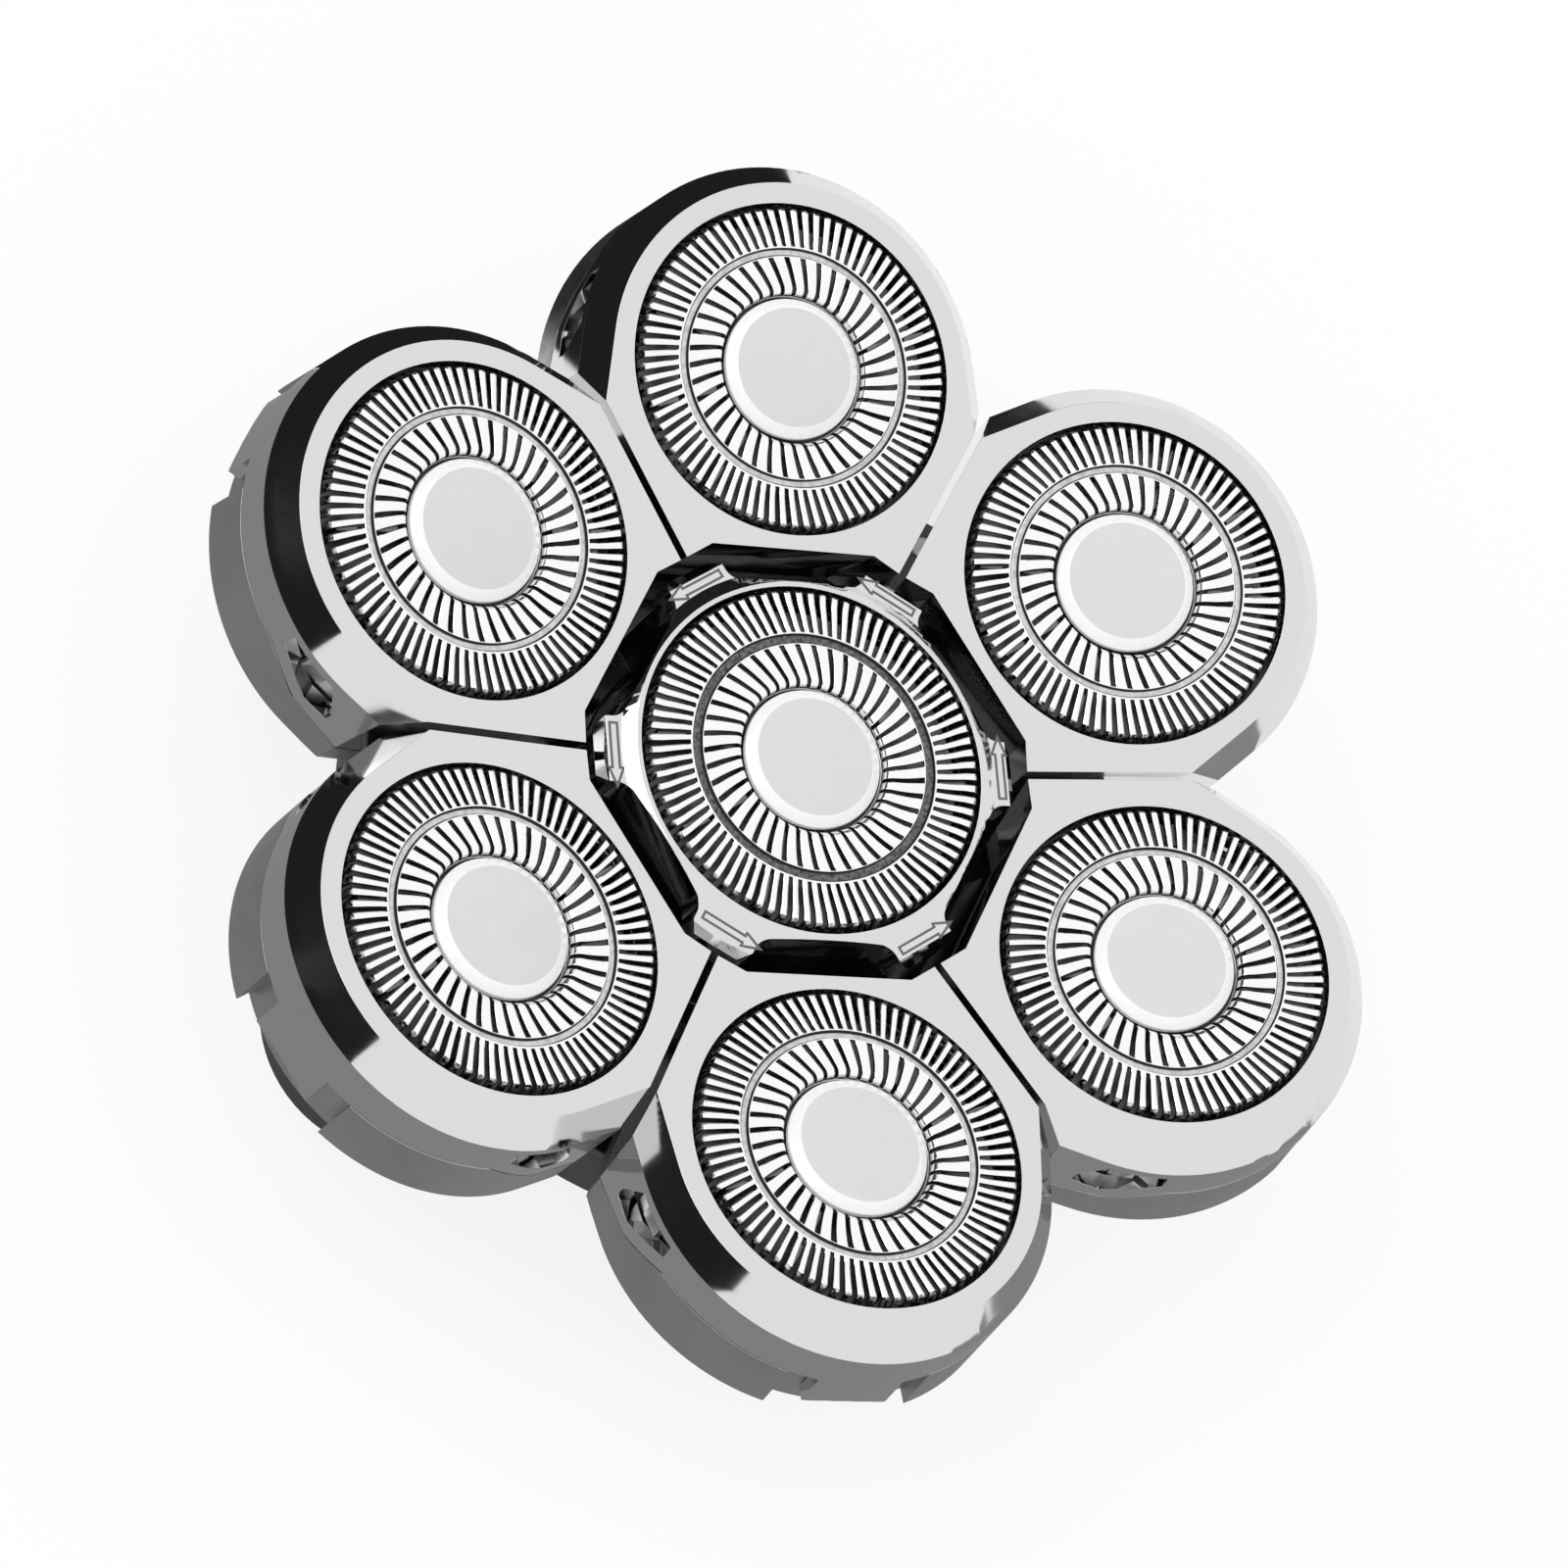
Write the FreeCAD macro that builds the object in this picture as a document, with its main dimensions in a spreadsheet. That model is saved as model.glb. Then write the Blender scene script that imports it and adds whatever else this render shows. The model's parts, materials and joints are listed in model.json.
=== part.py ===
import FreeCAD, Part
import math
import os
import Sketcher

# Rotary shaver head: six tilting pods round a fixed centre pod, all seven cutters
# driven by one sun gear and six pinions. The head lies on its collar, faces up.
# Origin: middle of the collar's lower rim. +Z is the head's axis, +X points at pod 1.
# A pod's own frame: x outwards, y along the ring of pods, z out of the cap's face (z = 0).

os.makedirs("parts", exist_ok=True)
doc = FreeCAD.newDocument("RotaryShaverHead")

POD_COUNT = 6
SUN_TEETH = 42
PINION_TEETH = 12
PRESSURE_ANGLE = math.radians(20)
HALF_PITCH = 180 / POD_COUNT

# Drawing values: a cut that goes right through, how far a cutting outline runs past the solid,
# how far two features of one solid overlap, and what counts as nought
THROUGH = 60
OVERCUT = 2
MERGE = 0.1
TINY = 0.001

# Shapes given as shares: the tongue's arch at its shoulders, a bend's inner corner by the sheet,
# a tooth's foot inside the root circle (mm), the pivot mouth's half width by the pin, the nose's
# place below its clip's bevel, and the spring's straight steps a turn
ARCH_SHOULDER = 0.75
SHEET_EASE = 0.4
TOOTH_ROOT = 0.3
MOUTH_SHARE = 0.8
NOSE_SHARE = 0.4
SPRING_STEPS = 10

SIZES = [
    ("flat_land", 1.835, "width of a cap's face between its bore and the flats beside its neighbours"),
    ("inner_land", 0.96, "width of a cap's face between its bore and the side facing the centre"),
    ("round_land", 2.88, "width of a cap's face between its bore and its round side"),
    ("pod_rise", 1.84, "height of a pod's face centre above the centre cap's face"),
    ("pod_tilt", 10.3, "lean of each pod towards the head's axis, degrees"),
    ("pod_gap", 0.5, "gap between two neighbouring caps at their faces"),
    ("recess_step", 0.9, "how much further out the recess reaches between two pods"),
    ("shoulder_angle", 82, "where the round side turns into straight shoulders, degrees"),
    ("cap_chamfer_width", 1.5, "chamfer round the cap, across the face"),
    ("cap_chamfer_depth", 1.9, "chamfer round the cap, down the side"),
    ("cap_bore", 11.0, "radius of an outer cap's bore"),
    ("cap_wall", 1.1, "wall of a cap's skirt"),
    ("cap_lid", 1.6, "thickness of a cap's face round the bore"),
    ("cap_rib_depth", 3.0, "depth at which a cap opens out to its thin skirt"),
    ("parting_depth", 5.0, "parting line between cap and shell, below the face"),
    ("parting_gap", 0.1, "gap at the parting line"),
    ("apron_start", 6.6, "where the cap's lower edge starts to dip, from the pod's axis"),
    ("apron_knee", 3.1, "where the dip levels off"),
    ("apron_knee_depth", 6.9, "depth of the cap's lower edge at the knee"),
    ("apron_end", 1.2, "how far behind the pod's axis the dip ends"),
    ("apron_depth", 7.8, "deepest part of the cap's lower edge"),
    ("tongue_half_width", 2.84, "half width of the cap's tongue"),
    ("tongue_thickness", 0.9, "thickness of the tongue"),
    ("tongue_depth", 8.0, "depth of the tongue's corners below the face"),
    ("tongue_arch", 0.6, "rise of the tongue's arched lower edge"),
    ("notch_half_width", 4.75, "half width of the notch round the tongue"),
    ("notch_gap", 0.1, "gap between the tongue and the notch's back"),
    ("notch_back", 1.6, "thickness of the wall behind the notch"),
    ("window_top", 2.6, "upper edge of the skirt's windows, below the face"),
    ("window_length", 5.25, "length of a window along the skirt"),
    ("window_start", 0.85, "near end of a window, from the pod's axis"),
    ("window_depth", 3.4, "height of a window at its deep end"),
    ("window_far_height", 1.3, "height of a window at its far end"),
    ("window_near_height", 0.8, "height of a window at its near end"),
    ("window_floor", 1.8, "length of a window's lower edge"),
    ("window_slope", 1.6, "length of the slope from a window's near end to its top"),
    ("clip_gap", 0.15, "gap between the shell's clip and the cap's skirt"),
    ("clip_thickness", 0.7, "thickness of a clip"),
    ("clip_inset", 0.35, "how much shorter a clip is than its window, at each end"),
    ("clip_top", 3.2, "top of a clip below the face"),
    ("clip_bevel", 1.2, "cut at a clip's upper corners"),
    ("nose_height", 1.2, "height of the nose that stands in the window"),
    ("nose_length", 1.6, "length of the nose along the window"),
    ("nose_reach", 0.55, "how far the nose stands out of its clip"),
    ("shell_wall", 1.0, "wall of the lower shell"),
    ("shell_floor", 1.2, "floor of the lower shell"),
    ("shell_depth", 10.3, "depth of the shell's underside below the face"),
    ("shell_rake", 0.95, "rise of the shell's underside towards its outer end"),
    ("spindle_hole", 3.6, "radius of the spindle's hole in the shell's floor"),
    ("pivot_margin", 2.96, "pivot pin, outwards of the pod's inner side"),
    ("pivot_rise", 1.4, "pivot pin, above the shell's underside"),
    ("pivot_radius", 0.6, "radius of the pivot pin"),
    ("pivot_clearance", 0.05, "running clearance of the pivot pin"),
    ("lug_width", 2.5, "width of a pivot lug"),
    ("lug_wall", 0.65, "wall of a pivot lug round its bore"),
    ("lug_clearance", 0.35, "room round a lug in the shell's floor"),
    ("block_cover", 0.4, "height of a pivot block above its pin"),
    ("block_length", 1.5, "length of a pivot block along its pin"),
    ("block_half_width", 1.0, "half width of a pivot block"),
    ("block_foot", 0.3, "height of a pivot block's foot above the underside"),
    ("pin_bite", 0.5, "how far the pivot pin reaches into each block"),
    ("foil_gap", 0.15, "gap between a foil and its cap's bore"),
    ("foil_sheet", 0.25, "thickness of the foil"),
    ("foil_flange", 0.35, "width of a foil's flange under the cap's face"),
    ("foil_rise", 0.3, "height of the foil's tracks above the cap's face"),
    ("foil_shoulder", 0.75, "width of the bevel round a foil"),
    ("foil_drop", 0.7, "drop of the bevel round a foil"),
    ("groove_width", 0.6, "width of the ring between the tracks"),
    ("groove_depth", 0.25, "depth of the ring between the tracks"),
    ("well_radius", 4.9, "radius of the well for the badge"),
    ("well_depth", 0.5, "depth of the well below the cap's face"),
    ("well_bevel", 0.4, "bevel from the inner track into the well"),
    ("slot_margin", 0.15, "land between the slots and the middle ring"),
    ("outer_slot_width", 0.8, "width of a slot of the outer track"),
    ("inner_slot_width", 0.8, "width of a slot of the inner track"),
    ("slot_depth", 1.0, "how far the slots run down the foil's side, below the face"),
    ("slot_overrun", 0.6, "how far an outer slot runs past the foil's wall"),
    ("inner_slot_overrun", 0.4, "how far an inner slot runs past the well's edge"),
    ("inner_slot_depth", 0.45, "how far the inner slots run down into the well"),
    ("outer_slot_slant", 8.4, "slant of the outer slots off the radius, degrees"),
    ("inner_slot_slant", 13.4, "slant of the inner slots off the radius, degrees"),
    ("badge_gap", 0.24, "gap round the badge in its well"),
    ("badge_edge", 0.4, "straight side of the badge"),
    ("badge_bevel", 0.7, "width of the badge's bevel"),
    ("badge_rise", 0.35, "height of the badge above the cap's face"),
    ("centre_land", 2.69, "distance of the centre cap's bore from the recess's flats"),
    ("centre_wall", 0.44, "wall of the centre cap at its six flats"),
    ("centre_rim", 0.3, "width of the rim round the centre bore"),
    ("centre_slope", 0.9, "width of the slope from the rim to the lobes"),
    ("lobe_drop", 0.5, "height of the centre rim above the lobes"),
    ("lobe_gap", 0.8, "room between a lobe's end and the recess"),
    ("lobe_corner", 0.6, "cut at a lobe's outer corners"),
    ("lobe_half_width", 2.2, "half width of a lobe"),
    ("lobe_chamfer", 0.65, "width of the chamfer on a lobe's outer edge"),
    ("lobe_chamfer_depth", 0.8, "depth of the chamfer on a lobe's outer edge"),
    ("lobe_fillet", 1.2, "fillet between a lobe and the flat beside it"),
    ("centre_skirt", 3.3, "depth of the centre cap below its face"),
    ("cutter_gap", 0.1, "gap between the blades' tips and the foil"),
    ("cutter_inset", 0.85, "how far the cutter stays inside the foil's wall"),
    ("cutter_top", 2.0, "depth of the cutter's disc below the face"),
    ("cutter_disc", 0.6, "thickness of the cutter's disc"),
    ("blade_thickness", 0.5, "thickness of a blade"),
    ("blade_notch", 0.4, "clearance of the blades round the middle ring"),
    ("blade_spare", 0.05, "extra room at the sides of the middle ring"),
    ("blade_start", 0.3, "distance of the blades from the well's bevel"),
    ("blade_inset", 0.1, "how far the blades stay inside the disc's rim"),
    ("boss_radius", 3.3, "radius of the cutter's boss"),
    ("boss_bottom", 5.0, "depth of the cutter's boss below the face"),
    ("socket_flats", 4.1, "width across flats of the cutter's socket"),
    ("socket_roof", 0.5, "wall above the cutter's socket"),
    ("socket_centre", 3.7, "depth of the spindle head's middle below the face"),
    ("spindle_lead", 0.17, "offset of the spindle outwards of the socket at rest"),
    ("head_flats", 3.0, "width across flats of the spindle's head"),
    ("head_height", 1.4, "height of the spindle's head"),
    ("neck_radius", 0.9, "radius of the spindle's neck"),
    ("neck_length", 2.6, "length of the spindle's neck"),
    ("flange_radius", 2.3, "radius of the spindle's flange"),
    ("flange_thickness", 0.5, "thickness of the spindle's flange"),
    ("shaft_flats", 2.2, "width across flats of the spindle's shaft"),
    ("shaft_clearance", 0.1, "clearance of the shaft in its gear, each side"),
    ("shaft_end_gap", 0.9, "room under a spindle's shaft at rest"),
    ("spring_radius", 1.75, "mean radius of a spring"),
    ("spring_wire", 0.4, "side of the spring's square wire"),
    ("spring_end_gap", 0.05, "gap at each end of a spring"),
    ("gear_thickness", 3.0, "thickness of the gears"),
    ("gear_gap", 0.4, "gap above and below the gears"),
    ("addendum", 0.8, "height of the teeth above the pitch circle, in modules"),
    ("dedendum", 1.0, "depth of the teeth below the pitch circle, in modules"),
    ("backlash", 0.12, "play between meshing teeth, along the pitch circle"),
    ("pinion_hub", 2.5, "radius of a pinion's upper hub"),
    ("pinion_stub", 1.6, "radius of a pinion's lower journal"),
    ("hub_rise", 0.4, "height of the hubs above the cover"),
    ("journal_clearance", 0.06, "running clearance of the gears' journals"),
    ("bore_floor", 0.5, "floor under a gear's hexagon bore, above its lower face"),
    ("stub_end_gap", 0.1, "gap under a pinion's lower journal"),
    ("sun_hub", 3.2, "radius of the sun gear's upper hub"),
    ("sun_stub", 3.0, "radius of the sun gear's lower journal"),
    ("sun_stub_reach", 0.3, "reach of the sun's journal below the housing's floor"),
    ("coupling_radius", 4.4, "radius of the drive coupling"),
    ("coupling_height", 3.3, "height of the drive coupling"),
    ("coupling_flats", 4.2, "width across flats of the drive socket"),
    ("coupling_roof", 0.8, "wall above the drive socket"),
    ("collar_radius", 15.0, "outer radius of the collar"),
    ("collar_wall", 1.6, "wall of the collar"),
    ("collar_height", 4.1, "height of the collar"),
    ("lock_reach", 0.9, "reach of the locking lugs inside the collar"),
    ("lock_half_width", 1.6, "half width of a locking lug"),
    ("lock_height", 1.1, "height of a locking lug"),
    ("lock_base", 0.6, "height of the locking lugs above the collar's rim"),
    ("seat_gap", 0.05, "play between the centre cap and the tower it turns on"),
    ("seal_offset", 0.6, "distance of the seal's groove from the collar"),
    ("seal_width", 1.2, "width of the seal's groove"),
    ("seal_depth", 0.6, "depth of the seal's groove"),
    ("seal_play", 0.04, "play of the seal at each side of its groove"),
    ("housing_floor", 1.4, "floor of the gear housing"),
    ("housing_wall", 1.2, "wall of the housing round a pinion's chamber"),
    ("tip_clearance", 0.6, "room between the teeth and the housing"),
    ("web_wall", 3.8, "wall of the housing round the sun gear, which holds the cover screws"),
    ("stub_bore_depth", 1.1, "depth of the pinions' bearings in the floor"),
    ("cover_thickness", 1.2, "thickness of the gear cover"),
    ("deck_gap", 0.57, "room between the cover and the pods' inner edge"),
    ("tower_step", 0.29, "how far the black tower stands out under the centre cap's bore"),
    ("tower_wall", 1.5, "wall of the tower"),
    ("spigot_clearance", 0.1, "clearance of the tower's spigot in the centre cap"),
    ("spigot_wall", 0.55, "wall of the tower's spigot"),
    ("post_inset", 0.6, "how far the posts stay inside the lobes' ends"),
    ("post_half_width", 1.7, "half width of a post"),
    ("screw_radius", 0.8, "radius of a screw's shank"),
    ("screw_clearance", 0.08, "clearance of a screw in the housing"),
    ("screw_head", 1.5, "radius of a screw's head"),
    ("screw_head_height", 0.8, "height of a screw's head"),
    ("driver_slot_width", 0.6, "width of a screw's driver slot"),
    ("driver_slot_length", 2.25, "length of a screw's driver slot"),
    ("driver_slot_depth", 0.4, "depth of a screw's driver slot"),
]


class Size:
    """A length or angle: its number, and the spreadsheet formula that gives it."""

    def __init__(self, number, formula):
        self.number = float(number)
        self.formula = formula

    def __add__(self, other):
        other = as_size(other)
        return Size(self.number + other.number, f"({self.formula} + {other.formula})")

    def __sub__(self, other):
        other = as_size(other)
        return Size(self.number - other.number, f"({self.formula} - {other.formula})")

    def __mul__(self, other):
        other = as_size(other)
        return Size(self.number * other.number, f"({self.formula} * {other.formula})")

    def __truediv__(self, other):
        other = as_size(other)
        return Size(self.number / other.number, f"({self.formula} / {other.formula})")

    def __neg__(self):
        return Size(-self.number, f"(0 - {self.formula})")

    def __radd__(self, other):
        return as_size(other) + self

    def __rsub__(self, other):
        return as_size(other) - self

    def __rmul__(self, other):
        return as_size(other) * self


def as_size(value):
    """Plain numbers take part in formulas as they are."""
    if isinstance(value, Size):
        return value
    return Size(value, repr(float(value)))


def cosine(angle):
    """Cosine of an angle in degrees, as a size."""
    angle = as_size(angle)
    return Size(math.cos(math.radians(angle.number)), f"cos({angle.formula})")


def sine(angle):
    """Sine of an angle in degrees, as a size."""
    angle = as_size(angle)
    return Size(math.sin(math.radians(angle.number)), f"sin({angle.formula})")


def make_sheet():
    """Puts the driving dimensions in a spreadsheet, one alias a row."""
    sheet = doc.addObject("Spreadsheet::Sheet", "Sizes")
    for row, (alias, value, meaning) in enumerate(SIZES, start=1):
        sheet.set(f"A{row}", alias)
        sheet.set(f"B{row}", str(value))
        sheet.setAlias(f"B{row}", alias)
        sheet.set(f"C{row}", meaning)
    doc.recompute()
    return sheet


SHEET = make_sheet()


def size(alias):
    """A driving dimension, read from its cell."""
    return Size(float(SHEET.get(alias)), f"Sizes.{alias}")


# A pod's outline, and the circle of pods that lets the caps' flats meet with their gap
TILT = size("pod_tilt")
CAP_RADIUS = size("cap_bore") + size("round_land")
POD_FLAT = size("cap_bore") + size("flat_land")
POD_INNER = size("cap_bore") + size("inner_land")
POD_CIRCLE = (POD_FLAT + size("pod_gap") / 2) / sine(HALF_PITCH)

# The recess between the pods, and the centre cap in it
RECESS_FLAT = POD_CIRCLE - POD_INNER * cosine(TILT)
RECESS_CORNER = RECESS_FLAT + size("recess_step")
CENTRE_BORE = RECESS_FLAT - size("centre_land")
LOBE_REACH = RECESS_CORNER - size("lobe_gap")
TOWER_RADIUS = CENTRE_BORE + size("tower_step")

# Heights above the resting plane, from the collar's rim up
FLOOR_BOTTOM = size("collar_height")
FLOOR_TOP = FLOOR_BOTTOM + size("housing_floor")
GEAR_BOTTOM = FLOOR_TOP + size("gear_gap")
GEAR_TOP = GEAR_BOTTOM + size("gear_thickness")
COVER_BOTTOM = GEAR_TOP + size("gear_gap")
COVER_TOP = COVER_BOTTOM + size("cover_thickness")
HUB_TOP = COVER_TOP + size("hub_rise")
POD_REACH = size("shell_depth") * cosine(TILT) + POD_INNER * sine(TILT)
FACE_HEIGHT = COVER_TOP + POD_REACH - size("pod_rise") + size("deck_gap")

# The drive's layout: pinions stand where the tilted cutters' sockets are
GEAR_DISTANCE = POD_CIRCLE + size("socket_centre") * sine(TILT) + size("spindle_lead")
MODULE = GEAR_DISTANCE * (2 / (SUN_TEETH + PINION_TEETH))
SUN_PITCH = MODULE * (SUN_TEETH / 2)
PINION_PITCH = MODULE * (PINION_TEETH / 2)
SUN_ROOM = SUN_PITCH + size("addendum") * MODULE + size("tip_clearance")
PINION_ROOM = PINION_PITCH + size("addendum") * MODULE + size("tip_clearance")
SEAL_INNER = size("collar_radius") + size("seal_offset")

# The pivot of a pod: in the pod's frame, and in the head's own
PIVOT_INSET = POD_INNER - size("pivot_margin")
PIVOT_DEPTH = size("shell_depth") - size("pivot_rise")
LUG_RADIUS = size("pivot_radius") + size("pivot_clearance") + size("lug_wall")
PIVOT_RADIUS_AT = POD_CIRCLE - PIVOT_INSET * cosine(TILT) + PIVOT_DEPTH * sine(TILT)
PIVOT_HEIGHT = FACE_HEIGHT + size("pod_rise") - PIVOT_INSET * sine(TILT) - PIVOT_DEPTH * cosine(TILT)


def plane_of(body, role):
    """The body's own origin plane or axis with the given role."""
    return next(item for item in body.Origin.OriginFeatures if item.Role == role)


def new_body(label):
    """An empty body whose label names the piece."""
    body = doc.addObject("PartDesign::Body", label)
    body.Label = label
    return body


def new_sketch(body, plane="XY_Plane", offset=None):
    """A sketch on one of the body's origin planes, raised by an offset along its normal."""
    sketch = body.newObject("Sketcher::SketchObject", f"{body.Name}_Sketch")
    sketch.AttachmentSupport = (plane_of(body, plane), [""])
    sketch.MapMode = "FlatFace"
    if offset is not None:
        sketch.AttachmentOffset = FreeCAD.Placement(FreeCAD.Vector(0, 0, offset.number), FreeCAD.Rotation())
        sketch.setExpression("AttachmentOffset.Base.z", offset.formula)
    return sketch


def pin_coordinate(sketch, kind, geometry, point, value):
    """Binds one coordinate of a point to a formula, or puts it on the axis if it is nought."""
    if value.number == 0:
        axis = -2 if kind == "DistanceX" else -1
        sketch.addConstraint(Sketcher.Constraint("PointOnObject", geometry, point, axis))
        return
    index = sketch.addConstraint(Sketcher.Constraint(kind, -1, 1, geometry, point, value.number))
    sketch.setExpression(f"Constraints[{index}]", value.formula)


def draw_outline(sketch, points, arcs=()):
    """Closed outline through the points. A side whose number is in arcs is an arc about the
    sketch's origin, and the point after it keeps one free coordinate to lie on that arc."""
    points = [(as_size(x), as_size(y)) for x, y in points]
    vectors = [FreeCAD.Vector(x.number, y.number, 0) for x, y in points]
    count = len(points)
    sides = []
    for side in range(count):
        first = vectors[side]
        second = vectors[(side + 1) % count]
        if side not in arcs:
            sides.append((sketch.addGeometry(Part.LineSegment(first, second)), 1, 2))
            continue
        low = math.atan2(first.y, first.x)
        high = math.atan2(second.y, second.x)
        turns_left = (high - low) % (2 * math.pi) < math.pi
        circle = Part.Circle(FreeCAD.Vector(0, 0, 0), FreeCAD.Vector(0, 0, 1), first.Length)
        if turns_left:
            sides.append((sketch.addGeometry(Part.ArcOfCircle(circle, low, high)), 1, 2))
        else:
            sides.append((sketch.addGeometry(Part.ArcOfCircle(circle, high, low)), 2, 1))
    for side in range(count):
        here = sides[side]
        after = sides[(side + 1) % count]
        sketch.addConstraint(Sketcher.Constraint("Coincident", here[0], here[2], after[0], after[1]))
    for side in arcs:
        sketch.addConstraint(Sketcher.Constraint("Coincident", sides[side][0], 3, -1, 1))
    for corner in range(count):
        x, y = points[corner]
        geometry, first_end = sides[corner][:2]
        on_arc = (corner - 1) % count in arcs
        if not on_arc or abs(y.number) > abs(x.number):
            pin_coordinate(sketch, "DistanceX", geometry, first_end, x)
        if not on_arc or abs(y.number) <= abs(x.number):
            pin_coordinate(sketch, "DistanceY", geometry, first_end, y)


def draw_circle(sketch, radius, x=0.0, y=0.0):
    """Circle of a given radius about a point."""
    x = as_size(x)
    y = as_size(y)
    centre = FreeCAD.Vector(x.number, y.number, 0)
    circle = sketch.addGeometry(Part.Circle(centre, FreeCAD.Vector(0, 0, 1), radius.number))
    pin_coordinate(sketch, "DistanceX", circle, 3, x)
    pin_coordinate(sketch, "DistanceY", circle, 3, y)
    index = sketch.addConstraint(Sketcher.Constraint("Radius", circle, radius.number))
    sketch.setExpression(f"Constraints[{index}]", radius.formula)


def draw_hexagon(sketch, flats):
    """Hexagon about the origin, with the given width across flats and a corner on +x."""
    reach = flats / (2 * math.cos(math.radians(30)))
    corners = [(reach * cosine(60 * k), reach * sine(60 * k)) for k in range(6)]
    draw_outline(sketch, [(x, y if abs(y.number) > 1e-9 else as_size(0)) for x, y in corners])


def extrude(body, kind, sketch, length, upwards=True, both_ways=False):
    """Pad or Pocket of a sketch by a length along its plane's normal, against it, or both ways."""
    feature = body.newObject(f"PartDesign::{kind}", f"{body.Name}_{kind}")
    feature.Profile = sketch
    length = as_size(length)
    feature.Length = length.number
    feature.setExpression("Length", length.formula)
    feature.Midplane = both_ways
    along_normal = kind == "Pad"
    feature.Reversed = upwards != along_normal
    body.Tip = feature
    return feature


def pad(body, sketch, length, upwards=True, both_ways=False):
    """Adds material over a sketch."""
    return extrude(body, "Pad", sketch, length, upwards, both_ways)


def pocket(body, sketch, length, upwards=False, both_ways=False):
    """Takes material away under a sketch, and checks that it did."""
    before = volume_of(body)
    feature = extrude(body, "Pocket", sketch, length, upwards, both_ways)
    doc.recompute()
    if feature.Shape.Volume > before - 1e-3:
        raise RuntimeError(f"{feature.Label} cuts nothing")
    return feature


def revolve(body, sketch):
    """Turns a profile in the XZ plane round the Z axis."""
    feature = body.newObject("PartDesign::Revolution", f"{body.Name}_Revolution")
    feature.Profile = sketch
    feature.ReferenceAxis = (sketch, ["V_Axis"])
    feature.Angle = 360
    body.Tip = feature
    return feature


def turn_away(body, sketch):
    """Takes away what a profile in the XZ plane sweeps round the Z axis."""
    before = volume_of(body)
    feature = body.newObject("PartDesign::Groove", f"{body.Name}_Groove")
    feature.Profile = sketch
    feature.ReferenceAxis = (sketch, ["V_Axis"])
    feature.Angle = 360
    body.Tip = feature
    doc.recompute()
    if feature.Shape.Volume > before - 1e-3:
        raise RuntimeError(f"{feature.Label} cuts nothing")
    return feature


def repeat(body, features, count):
    """Repeats features round the Z axis."""
    pattern = body.newObject("PartDesign::PolarPattern", f"{body.Name}_Pattern")
    pattern.Originals = features
    pattern.Axis = (plane_of(body, "Z_Axis"), [""])
    pattern.Angle = 360
    pattern.Occurrences = count
    body.Tip = pattern
    return pattern


def volume_of(body):
    """Volume of the body so far."""
    doc.recompute()
    return body.Tip.Shape.Volume


def dress_edges(body, kind, test, values):
    """Chamfer or Fillet on the edges of the body so far that pass a test."""
    doc.recompute()
    base = body.Tip
    names = [f"Edge{number}" for number, edge in enumerate(base.Shape.Edges, start=1) if test(edge)]
    feature = body.newObject(f"PartDesign::{kind}", f"{body.Name}_{kind}")
    feature.Base = (base, names)
    if "Size2" in values:
        feature.ChamferType = "Two distances"
    for name, value in values.items():
        setattr(feature, name, value.number)
        feature.setExpression(name, value.formula)
    body.Tip = feature
    return feature


def pod_outline(inset=0.0):
    """Corners of a pod's outline seen along its axis, moved inwards by an inset: round outside,
    straight shoulders, flats against both neighbours, and the inner side that faces the centre."""
    radius = CAP_RADIUS - inset
    turn = size("shoulder_angle")
    lean = cosine(TILT)
    sine_half = sine(HALF_PITCH)
    cosine_half = cosine(HALF_PITCH)
    flat = POD_FLAT - inset
    corner = RECESS_CORNER - cosine_half * POD_CIRCLE + inset
    inner = inset - POD_INNER
    arc_end = (radius * cosine(turn), radius * sine(turn))
    det = cosine(turn) * cosine_half + sine(turn) * sine_half * lean
    shoulder = ((radius * cosine_half - flat * sine(turn)) / det,
                (flat * cosine(turn) + radius * sine_half * lean) / det)
    gap_corner = ((corner * cosine_half - flat * sine_half) / lean,
                  flat * cosine_half + corner * sine_half)
    inner_corner = (inner, (corner - lean * cosine_half * inner) / sine_half)
    left = [arc_end, shoulder, gap_corner, inner_corner]
    right = [(x, -y) for x, y in reversed(left)]
    return left + right


POD_ARC_SIDE = (7,)


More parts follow.
